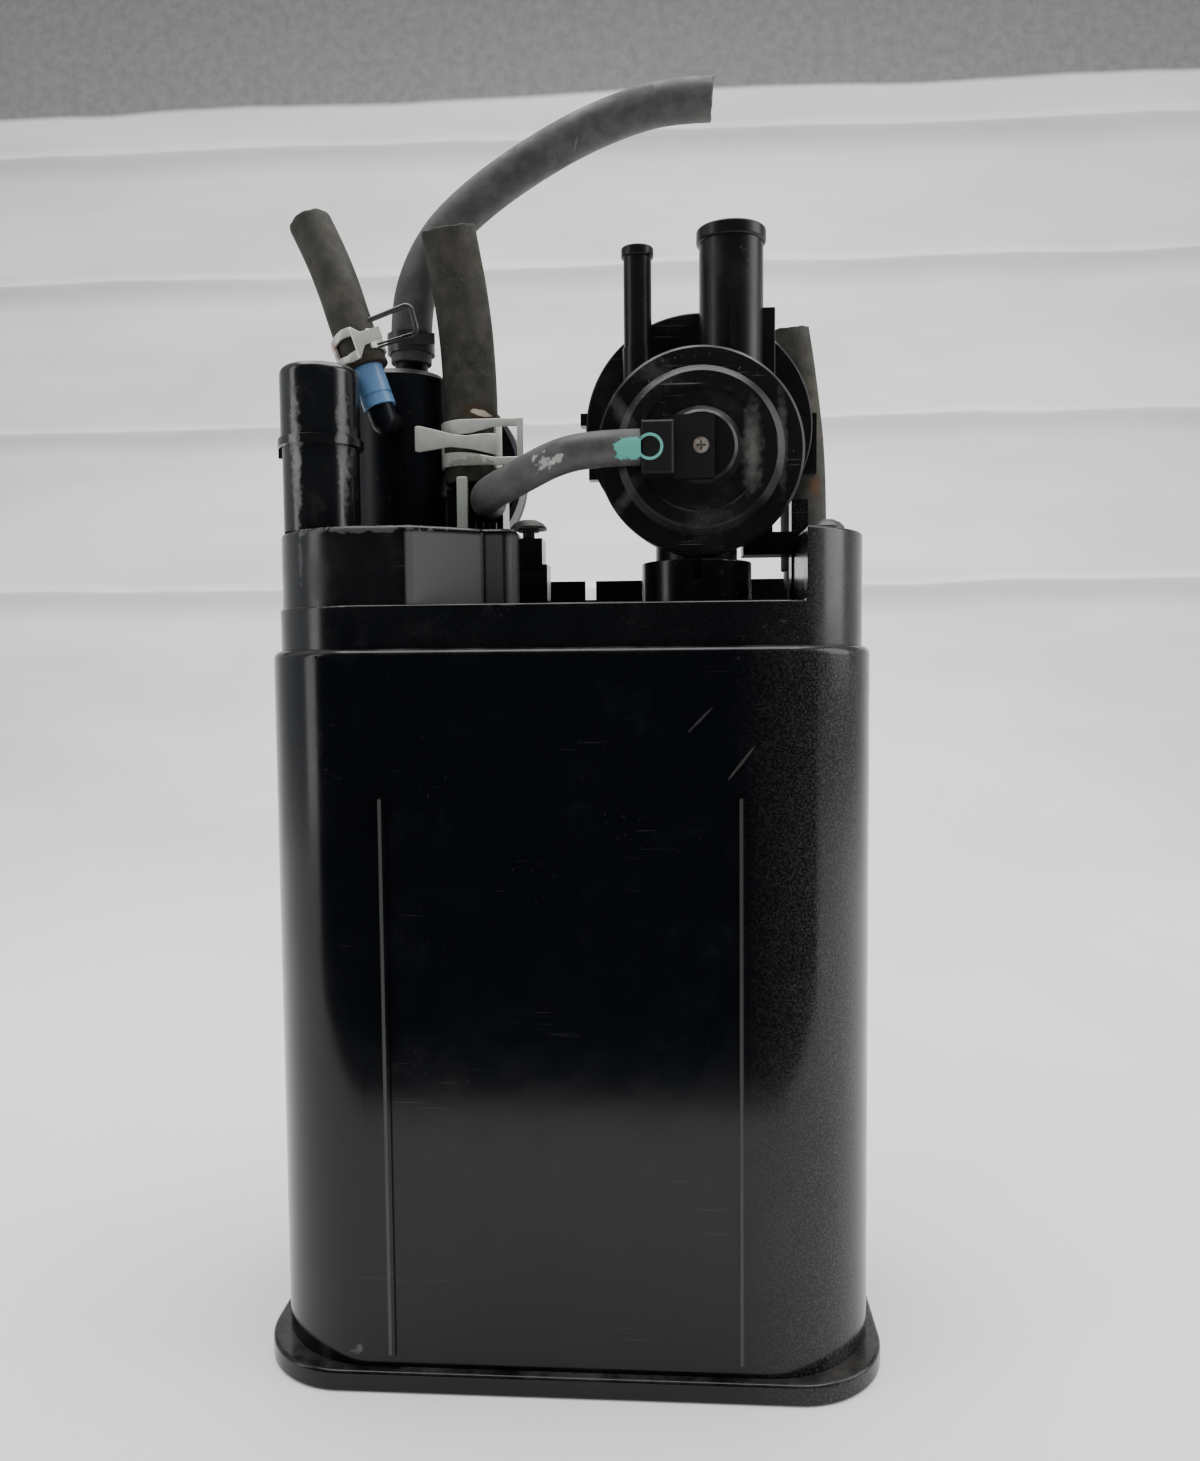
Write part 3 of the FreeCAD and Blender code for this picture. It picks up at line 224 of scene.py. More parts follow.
def strip(line: Array, low: float | Array, high: float | Array, thick: float) -> Patch:
    """A flat metal strip on edge: a rounded section, as high as the strip is wide, carried along a plan line.

    Args:
        line: (n, 2) points of the strip's middle in plan.
        low: the strip's lower edge, one height or one for each point.
        high: its upper edge.
        thick: its thickness.

    Returns:
        A closed patch.
    """
    ahead = np.gradient(line, axis=0)
    ahead /= np.linalg.norm(ahead, axis=1)[:, None]
    outward = np.stack([ahead[:, 1], -ahead[:, 0]], 1)
    half = thick / 2
    around = 16
    angle = (np.arange(around) + 0.5) * FULL_TURN / around
    across, out = np.cos(angle), np.sin(angle)
    round_off = 0.8 * half
    low, high = np.broadcast_to(low, len(line))[:, None], np.broadcast_to(high, len(line))[:, None]
    middle, reach = (low + high) / 2, (high - low) / 2 - round_off
    heights = middle + np.sign(across) * reach + round_off * across
    offset = np.sign(out) * (half - round_off) + round_off * out
    points = np.concatenate([line[:, None] + outward[:, None] * offset[:, None], heights[..., None]], -1)
    return grid(points, caps=True)


def wrap(radius: float, start: float, stop: float, steps: int = 40) -> Array:
    """A circular arc in plan, from one angle to another, both in degrees to the right of the front."""
    angle = np.radians(np.linspace(start, stop, steps))
    return np.stack([radius * np.sin(angle), -radius * np.cos(angle)], 1)


@dataclass
class Route:
    """A smooth path through a hose's or strip's middle, with a steady pair of cross directions."""

    line: Array
    reference: Point

    def __post_init__(self) -> None:
        """Works out the lengths along the path."""
        steps = np.linalg.norm(np.diff(self.line, axis=0), axis=1)
        self.reach = np.concatenate([[0], np.cumsum(steps)])
        self.length = float(self.reach[-1])

    def at(self, s: Array) -> tuple[Array, Array, Array]:
        """The path's point and its two cross directions at each length.

        The tangent is the difference of the path a little before and after, the first cross direction is the
        reference less its part along the tangent, and the second is their cross product.

        Args:
            s: lengths along the path, of any shape.

        Returns:
            Three arrays of the shape of s with 3 more.
        """
        def point(lengths: Array) -> Array:
            """The path's point at each length, between its nearest two points."""
            return np.stack([np.interp(lengths, self.reach, self.line[:, k]) for k in range(3)], -1)

        # the tangent is taken over a short stretch that stays inside the path
        reach = min(2 * MM, self.length / 8)
        middle = np.clip(s, reach, self.length - reach)
        tangent = point(middle + reach) - point(middle - reach)
        tangent /= np.linalg.norm(tangent, axis=-1, keepdims=True)
        reference = np.asarray(self.reference, float)
        first = reference - (tangent * reference).sum(-1, keepdims=True) * tangent
        first /= np.linalg.norm(first, axis=-1, keepdims=True)
        return point(np.clip(s, 0, self.length)), first, np.cross(tangent, first)


def spline_line(points: Sequence[Point]) -> Array:
    """The smooth line of a NURBS spline that has these control points.

    Args:
        points: the route's points, in metres.

    Returns:
        Points along the spline.
    """
    curve = bpy.data.curves.new("route", "CURVE")
    curve.dimensions = "3D"
    spline = curve.splines.new("NURBS")
    spline.points.add(len(points) - 1)
    spline.points.foreach_set("co", np.c_[np.array(points), np.ones(len(points))].ravel())
    spline.order_u = 3
    spline.use_endpoint_u = True
    spline.resolution_u = 16
    holder = bpy.data.objects.new("route", curve)
    bpy.context.scene.collection.objects.link(holder)
    bpy.context.view_layer.update()
    mesh = bpy.data.meshes.new_from_object(holder.evaluated_get(bpy.context.evaluated_depsgraph_get()))
    line = np.empty(len(mesh.vertices) * 3)
    mesh.vertices.foreach_get("co", line)
    bpy.data.objects.remove(holder)
    bpy.data.curves.remove(curve)
    bpy.data.meshes.remove(mesh)
    return line.reshape(-1, 3)


def piece(name: str, body: str, finish: "Finish", patches: Sequence[Patch], replaces: Sequence[str] = ()) -> bpy.types.Object:
    """Makes one object of patches, puts it on its body and dresses it.

    Args:
        name: the piece's name.
        body: the body that it rides on.
        finish: what it is made of.
        patches: the surfaces that it is made of.
        replaces: CAD nodes that it stands for.

    Returns:
        The new object.
    """
    starts = np.cumsum([0] + [len(patch.points) for patch in patches])
    faces = [face for patch, start in zip(patches, starts) for face in (patch.quads + start).tolist()]
    faces += [(cap + start).tolist() for patch, start in zip(patches, starts) for cap in patch.caps]
    mesh = bpy.data.meshes.new(name)
    mesh.from_pydata(np.concatenate([patch.points for patch in patches]).tolist(), [], faces)
    tidy = bmesh.new()
    tidy.from_mesh(mesh)
    bmesh.ops.remove_doubles(tidy, verts=tidy.verts, dist=1e-7)
    bmesh.ops.dissolve_degenerate(tidy, edges=tidy.edges, dist=1e-8)
    bmesh.ops.recalc_face_normals(tidy, faces=tidy.faces)
    tidy.to_mesh(mesh)
    tidy.free()
    mesh.shade_smooth()
    mesh.set_sharp_from_angle(angle=SHARP_EDGE)
    made = bpy.data.objects.new(name, mesh)
    bpy.context.scene.collection.objects.link(made)
    mesh.materials.append(finish.material())
    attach(made, body)
    if replaces:
        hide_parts(*replaces)
    LOG.info("%s: %d faces on %s", name, len(mesh.polygons), body)
    return made


def dress(finish: "Finish", *nodes: str) -> None:
    """Gives carried-over parts their finish.

    Args:
        finish: what they are made of.
        nodes: the parts' names.
    """
    for node in nodes:
        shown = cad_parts[node]
        if not shown.material_slots:
            shown.data.materials.append(None)
        for slot in shown.material_slots:
            slot.material = finish.material()
        LOG.info("%s dressed", node)


def flexing(finish: "Finish", node: str, body: str, way: Way) -> None:
    """Gives a spring or diaphragm a copy of its mesh, in the finish given, in place of the part; the copy is
    not attached to a body and does not stretch.

    Args:
        finish: what it is made of.
        node: the spring or diaphragm.
        body: the moving body at its free end.
        way: the way from its fixed end to its free end.
    """
    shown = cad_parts[node]
    mesh = shown.data.copy()
    mesh.transform(shown.matrix_world)
    made = bpy.data.objects.new(f"{node}_flexing", mesh)
    bpy.context.scene.collection.objects.link(made)
    mesh.materials.clear()
    mesh.materials.append(finish.material())
    places = np.empty(len(mesh.vertices) * 3)
    mesh.vertices.foreach_get("co", places)
    along = places[way.axis()::3]
    start, end = np.zeros(3), np.zeros(3)
    start[way.axis()], end[way.axis()] = sorted((along.min(), along.max()), reverse=way.backwards())
    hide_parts(node)
    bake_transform(made)
    LOG.info("%s stretches with %s", node, body)


# ---- finishes --------------------------------------------------------------------------------
Socket = bpy.types.NodeSocket
Value = Socket | float


class Wires:
    """Adds nodes to a node tree. Most methods return the new node's output."""

    def __init__(self, tree: bpy.types.NodeTree) -> None:
        """Starts with the tree that the nodes go to."""
        self.tree = tree

    def node(self, kind: str, **settings: object) -> bpy.types.Node:
        """Adds a node.

        Args:
            kind: its type name.
            settings: its properties.

        Returns:
            The new node.
        """
        made = self.tree.nodes.new(kind)
        for name, value in settings.items():
            setattr(made, name, value)
        return made

    def feed(self, socket: Socket, value: Value | Sequence[float]) -> None:
        """Links an output to a socket, or sets the socket to a number or colour.

        Args:
            socket: the input socket.
            value: an output, a number, a colour or a vector.
        """
        if isinstance(value, bpy.types.NodeSocket):
            self.tree.links.new(value, socket)
        else:
            socket.default_value = value

    def math(self, operation: str, first: Value, second: Value = 0.0, clamp: bool = False) -> Socket:
        """One arithmetic step.

        Args:
            operation: the step's name.
            first: the first number.
            second: the second number, where the step takes two.
            clamp: True if the result is kept between 0 and 1.

        Returns:
            The result.
        """
        made = self.node("ShaderNodeMath", operation=operation, use_clamp=clamp)
        self.feed(made.inputs[0], first)
        self.feed(made.inputs[1], second)
        return made.outputs[0]

    def window(self, value: Value, low: float, high: float, to_low: float = 0.0,
               to_high: float = 1.0) -> Socket:
        """Takes a range of values to another range by the smooth step t^2 (3 - 2 t).

        Args:
            value: what is taken over.
            low: the start of its range.
            high: the end of its range.
            to_low: the result at and below the start.
            to_high: the result at and above the end.

        Returns:
            The result.
        """
        made = self.node("ShaderNodeMapRange", interpolation_type="SMOOTHSTEP")
        for socket, number in zip(made.inputs, (value, low, high, to_low, to_high)):
            self.feed(socket, number)
        return made.outputs[0]

    def blend(self, factor: Value, first: Socket | Sequence[float],
              second: Socket | Sequence[float]) -> Socket:
        """Mixes two colours.

        Args:
            factor: 0 for the first colour, 1 for the second.
            first: a colour.
            second: a colour.

        Returns:
            The mixed colour.
        """
        made = self.node("ShaderNodeMix", data_type="RGBA")
        self.feed(made.inputs[0], factor)
        for socket, colour in zip((made.inputs[6], made.inputs[7]), (first, second)):
            self.feed(socket, colour if isinstance(colour, bpy.types.NodeSocket) else (*colour, 1.0))
        return made.outputs[2]

    def coordinates(self) -> Socket:
        """The piece's own place in metres."""
        return self.node("ShaderNodeTexCoord").outputs["Object"]

    def stretched(self, vector: Socket, scale: Sequence[float], turn: Sequence[float] = (0, 0, 0)) -> Socket:
        """Coordinates turned and stretched.

        Args:
            vector: the coordinates.
            scale: the stretch along each axis.
            turn: the turn about each axis, in radians.

        Returns:
            The new coordinates.
        """
        made = self.node("ShaderNodeMapping")
        self.feed(made.inputs["Vector"], vector)
        made.inputs["Rotation"].default_value = turn
        made.inputs["Scale"].default_value = scale
        return made.outputs[0]

    def noise(self, vector: Socket, scale: Value, detail: float = 2.0, roughness: float = 0.5,
              distortion: float = 0.0) -> Socket:
        """Cloudy noise between 0 and 1.

        Args:
            vector: the coordinates.
            scale: clouds per metre.
            detail: how many finer layers are added.
            roughness: how strong the finer layers are.
            distortion: how far the clouds are swirled.

        Returns:
            The noise.
        """
        made = self.node("ShaderNodeTexNoise")
        self.feed(made.inputs["Vector"], vector)
        self.feed(made.inputs["Scale"], scale)
        made.inputs["Detail"].default_value = detail
        made.inputs["Roughness"].default_value = roughness
        made.inputs["Distortion"].default_value = distortion
        return made.outputs[0]

    def group(self, tree: bpy.types.NodeTree, **inputs: Value | Sequence[float]) -> bpy.types.Node:
        """Places a shared effect with its own values.

        Args:
            tree: the effect.
            inputs: its values, by socket name.

        Returns:
            The placed group.
        """
        made = self.node("ShaderNodeGroup", node_tree=tree)
        for name, value in inputs.items():
            self.feed(made.inputs[name.replace("_", " ")], value)
        return made


def new_group(name: str, inputs: dict[str, tuple[str, object]], outputs: Sequence[str]) \
        -> tuple[bpy.types.NodeTree, Wires, dict[str, Socket], bpy.types.Node]:
    """An empty node group with its sockets.

    Args:
        name: the group's name.
        inputs: each input's kind and first value.
        outputs: names of its float outputs.

    Returns:
        The group, its wires, its input sockets by name and its output node.
    """
    tree = bpy.data.node_groups.new(name, "ShaderNodeTree")
    for label, (kind, value) in inputs.items():
        tree.interface.new_socket(label, in_out="INPUT", socket_type=kind).default_value = value
    for label in outputs:
        tree.interface.new_socket(label, in_out="OUTPUT", socket_type="NodeSocketFloat")
    wires = Wires(tree)
    entry, leave = wires.node("NodeGroupInput"), wires.node("NodeGroupOutput")
    return tree, wires, {socket.name: socket for socket in entry.outputs}, leave


FLOAT, VECTOR = "NodeSocketFloat", "NodeSocketVector"


def wear_group() -> bpy.types.NodeTree:
    """Fine scratches in three directions, rubbed patches and moulding grain.

    A scratch is stretched noise above a threshold, and a cloudy mask thins the scratches out.

    Returns:
        The group.
    """
    tree, wires, given, leave = new_group(
        "Wear", {"Scratches": (FLOAT, 0.5), "Rubs": (FLOAT, 0.5)}, ("Scratch", "Rub", "Grain"))
    place = wires.coordinates()
    lines: Socket | None = None
    # each direction's turn, and its stretch: long along one axis and fine across it
    directions = (((0.3, 0.9, 0.2), (26, 900, 700)), ((1.1, -0.6, 0.7), (1300, 34, 800)),
                  ((-0.4, 0.35, 1.3), (40, 1100, 1500)))
    for turn, stretch in directions:
        streak = wires.window(wires.noise(wires.stretched(place, stretch, turn), 1.0, 1.0), 0.70, 0.78)
        lines = streak if lines is None else wires.math("MAXIMUM", lines, streak)
    sparse = wires.window(wires.noise(place, 38, 3.0), 0.5, 0.68)
    scratch = wires.math("MULTIPLY", wires.math("MULTIPLY", lines, sparse), given["Scratches"], clamp=True)
    patches = wires.window(wires.noise(place, 55, 6.0, 0.65, 0.4), 0.52, 0.74)
    rub = wires.math("MULTIPLY", patches, given["Rubs"], clamp=True)
    wires.feed(leave.inputs["Scratch"], scratch)
    wires.feed(leave.inputs["Rub"], rub)
    wires.feed(leave.inputs["Grain"], wires.noise(place, 2600, 2.0))
    return tree


def dust_group() -> bpy.types.NodeTree:
    """Dust that lies on upward faces, clings in clouds and sits as fine specks.

    Returns:
        The group.
    """
    tree, wires, given, leave = new_group(
        "Dust", {"Settled": (FLOAT, 0.5), "Clinging": (FLOAT, 0.1), "Specks": (FLOAT, 0.3)},
        ("Film", "Speck"))
    place = wires.coordinates()
    up = wires.node("ShaderNodeSeparateXYZ")
    wires.feed(up.inputs[0], wires.node("ShaderNodeNewGeometry").outputs["Normal"])
    level = wires.window(up.outputs["Z"], 0.25, 0.95)
    cloud = wires.window(wires.noise(place, 70, 5.0, 0.6), 0.3, 0.75)
    settled = wires.math("MULTIPLY", wires.math("MULTIPLY", level, given["Settled"]), cloud)
    clinging = wires.math("MULTIPLY", cloud, given["Clinging"])
    specks = wires.window(wires.noise(place, 2400, 1.0), 0.66, 0.76)
    where = wires.window(wires.noise(place, 24, 4.0, 0.6), 0.42, 0.62)
    wires.feed(leave.inputs["Film"], wires.math("ADD", settled, clinging, clamp=True))
    speck = wires.math("MULTIPLY", wires.math("MULTIPLY", specks, where), given["Specks"])
    wires.feed(leave.inputs["Speck"], speck)
    return tree


def spot_group() -> bpy.types.NodeTree:
    """One ragged spot: 1 at its centre, 0 outside its radius.

    The distance from the centre is taken after a turn and a stretch, and noise is added to it at the rim.

    Returns:
        The group.
    """
    tree, wires, given, leave = new_group(
        "Spot", {"Centre": (VECTOR, (0, 0, 0)), "Stretch": (VECTOR, (1, 1, 1)), "Radius": (FLOAT, 0.01),
                 "Turn": (FLOAT, 0.0), "Soft": (FLOAT, 0.3), "Ragged": (FLOAT, 0.2)}, ("Mask",))
    place = wires.coordinates()
    away = wires.node("ShaderNodeVectorMath", operation="SUBTRACT")
    wires.feed(away.inputs[0], place)
    wires.feed(away.inputs[1], given["Centre"])
    level = wires.node("ShaderNodeVectorRotate", rotation_type="Y_AXIS")
    wires.feed(level.inputs["Vector"], away.outputs[0])
    wires.feed(level.inputs["Angle"], given["Turn"])
    scaled = wires.node("ShaderNodeVectorMath", operation="MULTIPLY")
    wires.feed(scaled.inputs[0], level.outputs[0])
    wires.feed(scaled.inputs[1], given["Stretch"])
    far = wires.node("ShaderNodeVectorMath", operation="LENGTH")
    wires.feed(far.inputs[0], scaled.outputs[0])
    share = wires.math("DIVIDE", far.outputs["Value"], given["Radius"])
    uneven = wires.math("SUBTRACT", wires.noise(place, 420, 3.0), 0.5)
    wobble = wires.math("MULTIPLY", uneven, given["Ragged"])
    edge = wires.math("ADD", share, wires.math("MULTIPLY", wobble, 4.0))
    inside = wires.math("DIVIDE", wires.math("SUBTRACT", 1.0, edge), given["Soft"], clamp=True)
    wires.feed(leave.inputs["Mask"], inside)
    return tree


class Effect(Enum):
    """An effect that more than one finish uses."""

    WEAR = "wear"
    DUST = "dust"
    SPOT = "spot"


# the effects and materials made so far
SHARED: dict[Effect, bpy.types.NodeTree] = {}
MADE: dict[str, bpy.types.Material] = {}


def shared(effect: Effect) -> bpy.types.NodeTree:
    """A shared effect, built the first time that it is asked for.

    Args:
        effect: which effect.

    Returns:
        Its group.
    """
    builders = {Effect.WEAR: wear_group, Effect.DUST: dust_group, Effect.SPOT: spot_group}
    if effect not in SHARED:
        SHARED[effect] = builders[effect]()
    return SHARED[effect]


def grey(level: float) -> Colour:
    """A neutral colour."""
    return level, level, level


@dataclass(frozen=True)
class Spot:
    """A coloured spot on a piece, in millimetres; most are real marks and some are painted highlights. Its
    turn, in radians, is in the front plane.
    """

    centre: Point
    radius: float
    colour: Colour
    strength: float = 1.0
    stretch: Point = (1.0, 1.0, 1.0)
    turn: float = 0.0
    soft: float = 0.35
    ragged: float = 0.2


@dataclass(frozen=True)
class PaintedLightBox:
    """A box-shaped region, in millimetres, where a painted highlight or painted shade is laid into the
    colour, and the surface is made duller.
    """

    low: Point
    high: Point
    colour: Colour
    strength: float
    edge: float = 0.6


@dataclass(frozen=True)
class Finish:
    """What every material shares: a base colour, a gloss, dust, wear, marks, painted highlights and boxes of
    painted highlight or painted shade.

    variety is how much of the second colour shows in clouds of grain_size per metre. gloss is the roughness
    where clean and where dull. dust is how much is settled, clinging and specks. wear is scratches and rubs.
    bump is a strength and a depth in millimetres.
    """

    name: str
    colour: Colour
    second: Colour = grey(0.02)
    variety: float = 0.0
    grain_size: float = 60.0
    gloss: tuple[float, float] = (0.25, 0.5)
    metallic: float = 0.0
    specular: float = 0.5
    dust: tuple[float, float, float] = (0.3, 0.05, 0.2)
    dust_colour: Colour = (0.30, 0.28, 0.25)
    wear: tuple[float, float] = (0.5, 0.3)
    worn_colour: Colour = grey(0.10)
    bump: tuple[float, float] = (0.02, 0.05)
    haze: float = 0.0
    spots: tuple[Spot, ...] = ()
    painted_light_boxes: tuple[PaintedLightBox, ...] = ()

    def material(self) -> bpy.types.Material:
        """The finish's material, made once.

        Returns:
            The material.
        """
        if self.name in MADE:
            return MADE[self.name]
        made = MADE[self.name] = bpy.data.materials.new(f"{self.name}_look")
        made.use_nodes = True
        wires = Wires(made.node_tree)
        shader = made.node_tree.nodes["Principled BSDF"]
        shader.inputs["Metallic"].default_value = self.metallic
        shader.inputs["Specular IOR Level"].default_value = self.specular
        self.wire(wires, shader)
        return made

    def wire(self, wires: Wires, shader: bpy.types.Node) -> None:
        """Feeds the shader's colour, roughness and normal.

        Args:
            wires: the material's nodes.
            shader: its Principled shader.
        """
        place = wires.coordinates()
        wear = wires.group(shared(Effect.WEAR), Scratches=self.wear[0], Rubs=self.wear[1])
        dust = wires.group(shared(Effect.DUST), Settled=self.dust[0], Clinging=self.dust[1],
                           Specks=self.dust[2])
        mottle = wires.noise(place, self.grain_size, 5.0, 0.6)
        colour = wires.blend(wires.math("MULTIPLY", wires.window(mottle, 0.35, 0.7), self.variety),
                             self.colour, self.second)
        film = dust.outputs["Film"]
        if self.haze:
            film = wires.math("MAXIMUM", film, self.side_haze(wires, place))
        # from the plastic or rubber outwards: rubs, scratches, film, specks, then the spots, which are marks
        # and painted highlights, and the boxes of painted highlight or painted shade
        colour = wires.blend(wires.math("MULTIPLY", wear.outputs["Rub"], 0.5), colour, self.worn_colour)
        colour = wires.blend(wear.outputs["Scratch"], colour, self.worn_colour)
        colour = wires.blend(film, colour, self.dust_colour)
        colour = wires.blend(dust.outputs["Speck"], colour, self.dust_colour)
        rubbed = wires.math("MAXIMUM", wear.outputs["Rub"], wear.outputs["Scratch"])
        dull = wires.math("MAXIMUM", film, rubbed)
        # the spots are real marks and, on some finishes, painted highlights
        for spot in self.spots:
            shape = wires.group(shared(Effect.SPOT), Centre=[c * MM for c in spot.centre],
                                Stretch=spot.stretch, Radius=spot.radius * MM, Turn=spot.turn,
                                Soft=spot.soft, Ragged=spot.ragged)
            mask = wires.math("MULTIPLY", shape.outputs["Mask"], spot.strength)
            colour = wires.blend(mask, colour, spot.colour)
            dull = wires.math("MAXIMUM", dull, mask)
        # each box lays a painted highlight or painted shade into the colour and dulls the gloss there
        for panel in self.painted_light_boxes:
            mask = self.painted_light_mask(wires, place, panel)
            colour = wires.blend(mask, colour, panel.colour)
            dull = wires.math("MAXIMUM", dull, mask)
        wires.feed(shader.inputs["Base Color"], colour)
        uneven = wires.window(wires.noise(place, 90, 4.0), 0.3, 0.7, 0.0, 0.25)
        rough = wires.math("ADD", wires.math("MULTIPLY", dull, 2.0), uneven, clamp=True)
        wires.feed(shader.inputs["Roughness"], wires.window(rough, 0.0, 1.0, *self.gloss))
        height = wires.math("SUBTRACT", wires.math("MULTIPLY", wear.outputs["Grain"], 0.5),
                            wear.outputs["Scratch"])
        bump = wires.node("ShaderNodeBump")
        bump.inputs["Strength"].default_value = self.bump[0]
        bump.inputs["Distance"].default_value = self.bump[1] * MM
        wires.feed(bump.inputs["Height"], height)
        wires.feed(shader.inputs["Normal"], bump.outputs["Normal"])

    def painted_light_mask(self, wires: Wires, place: Socket, panel: PaintedLightBox) -> Socket:
        """1 inside a panel's box and 0 outside, with soft edges.

        Args:
            wires: the material's nodes.
            place: the coordinates.
            panel: the region.

        Returns:
            The mask times the panel's strength.
        """
        axes = wires.node("ShaderNodeSeparateXYZ")
        wires.feed(axes.inputs[0], place)
        mask: Value = panel.strength
        soft = panel.edge * MM
        for socket, low, high in zip(axes.outputs, panel.low, panel.high):
            above = wires.window(socket, low * MM - soft, low * MM + soft)
            below = wires.window(socket, high * MM - soft, high * MM + soft, 1.0, 0.0)
            mask = wires.math("MULTIPLY", wires.math("MULTIPLY", mask, above), below)
        return mask

    def side_haze(self, wires: Wires, place: Socket) -> Socket:
        """A hazy, speckled film that thickens towards the right-hand side.

        Args:
            wires: the material's nodes.
            place: the coordinates.

        Returns:
            The film's strength.
        """
        across = wires.node("ShaderNodeSeparateXYZ")
        wires.feed(across.inputs[0], place)
        side = wires.window(across.outputs["X"], 0.045, 0.09)
        fine = wires.window(wires.noise(place, 1500, 3.0, 0.7), 0.42, 0.66, 0.12, 1.0)
        return wires.math("MULTIPLY", wires.math("MULTIPLY", side, fine), self.haze)


GREY_SCUFF = grey(0.16)
CASE = Finish("case_plastic", (0.002, 0.0024, 0.0036), gloss=(0.14, 0.42), specular=0.31,
              dust=(0.16, 0.002, 0.022), haze=0.14,
              wear=(0.16, 0.05), spots=(
                  Spot((41.1, -53, 204.4), 5.5, GREY_SCUFF, 0.16, (1, 1, 12), turn=0.8),
                  Spot((52.6, -53, 191.3), 7.5, GREY_SCUFF, 0.2, (1, 1, 16), turn=0.9),
                  Spot((-64.1, -56, 11.9), 4, grey(0.3), 0.2, (1, 1, 2), turn=0.3, ragged=0.5),
                  Spot((-19.9, -53, 232.5), 6.5, grey(0.12), 0.4, (14, 1, 1), turn=0.2),
                  Spot((57.5, -53, 233.1), 4, GREY_SCUFF, 0.22, (1, 1, 2.4), ragged=0.5)),
              # painted highlights: the two front ribs are drawn lighter along their length
              painted_light_boxes=(PaintedLightBox((-54.2, -60, 11), (-53.2, -52.4, 181.5), (0.11, 0.115, 0.11), 0.4, 0.2),
                      PaintedLightBox((52.4, -60, 11), (53.4, -52.4, 181.5), (0.10, 0.105, 0.10), 0.35, 0.2)))
DECK = Finish("deck_plastic", (0.003, 0.0034, 0.0045), gloss=(0.18, 0.5), specular=0.42,
              dust=(0.2, 0.005, 0.05), haze=0.09,
              wear=(0.3, 0.1), spots=(
                  Spot((-79, -41, 254), 8, GREY_SCUFF, 0.16, (8, 1, 1), ragged=0.5),
                  Spot((-60, -50, 261.5), 22, GREY_SCUFF, 0.3, (1, 1, 18), ragged=0.9)),
              # painted reflections and highlights: the manifold's front facets and its rounded corner are
              # drawn lighter, facet by facet
              painted_light_boxes=(PaintedLightBox((-45.4, -60, 239), (-24.9, -28, 260.5), (0.10, 0.10, 0.097), 0.66),
                      PaintedLightBox((-76, -60, 239), (-46.5, -28, 261), grey(0.014), 0.14, 3),
                      PaintedLightBox((-23.6, -60, 239), (-18.4, -28, 260.5), (0.065, 0.065, 0.063), 0.6),
                      PaintedLightBox((-17.0, -60, 239), (-13, -28, 260.5), (0.17, 0.17, 0.165), 0.6, 1.2)))
PORT = Finish("port_plastic", (0.0055, 0.006, 0.007), gloss=(0.18, 0.5), dust=(0.25, 0.006, 0.04),
              wear=(0.6, 0.2), spots=(
                  # painted highlights with some scratch wear in them: two pale vertical streaks on the port's
                  # glossy wall
                  Spot((-80.5, -41.5, 285), 20, (0.30, 0.30, 0.29), 0.5, (9, 1, 1), soft=0.9, ragged=0.5),
                  Spot((-67.0, -38, 288), 20, (0.26, 0.26, 0.255), 0.36, (12, 1, 1), 0.0, 0.9, 0.5)))
HOUSING = Finish("housing_plastic", (0.004, 0.005, 0.007), gloss=(0.36, 0.6), specular=0.2,
                 dust=(0.2, 0.004, 0.03), wear=(0.3, 0.1))
# the colour of the painted highlights on the valve's front cover
PAINTED_VALVE_HIGHLIGHT = (0.20, 0.195, 0.18)
VALVE = Finish("valve_plastic", (0.006, 0.006, 0.0065), gloss=(0.3, 0.58), specular=0.3,
               dust=(0.3, 0.006, 0.05), wear=(0.8, 0.15), spots=(
                   Spot((28.4, -33, 309.1), 10, (0.11, 0.105, 0.10), 0.2, (1, 1, 2), -0.5, 0.9, 0.5),
                   # painted highlights: crescents on the right of the front cover
                   Spot((57.5, -34, 285), 16, PAINTED_VALVE_HIGHLIGHT, 0.42, (4.5, 1, 1), soft=0.9, ragged=0.3),
                   Spot((66.5, -33, 288), 18, PAINTED_VALVE_HIGHLIGHT, 0.3, (9, 1, 1), soft=0.9, ragged=0.3),
                   Spot((44, -36, 264), 11, (0.10, 0.10, 0.095), 0.16, (1, 1, 1.8), soft=0.9, ragged=0.5),
                   # painted highlights: soft patches on the left of the front cover, above and below its
                   # middle
                   Spot((19, -33, 296), 11, (0.16, 0.16, 0.15), 0.3, (4, 1, 1), 0.5, 0.9, 0.3),
                   Spot((19.5, -33, 272), 9, (0.14, 0.14, 0.13), 0.25, (4, 1, 1), -0.6, 0.9, 0.3)),
               # painted shade: the stub block's front is drawn near black and dull, dimming the highlights on
               # its outline
               painted_light_boxes=(PaintedLightBox((24, -48, 276), (46, -36, 295), grey(0.008), 0.9, 0.3),))
CLIP = Finish("clip_nylon", grey(0.012), gloss=(0.4, 0.7), dust=(0.6, 0.08, 0.5))
PALE = Finish("pale_nylon", (0.40, 0.42, 0.37), (0.26, 0.26, 0.22), 0.5, gloss=(0.4, 0.7),
              dust=(0.1, 0.05, 0.1))
BLUE = Finish("blue_plastic", (0.12, 0.25, 0.45), (0.06, 0.14, 0.28), 0.5, gloss=(0.3, 0.55),
              dust=(0.2, 0.05, 0.2))
MEMBRANE = Finish("membrane_rubber", grey(0.012), gloss=(0.45, 0.7))
FELT = Finish("felt", (0.32, 0.31, 0.28), (0.2, 0.19, 0.17), 0.8, 900, gloss=(0.85, 1.0), bump=(0.6, 0.4))
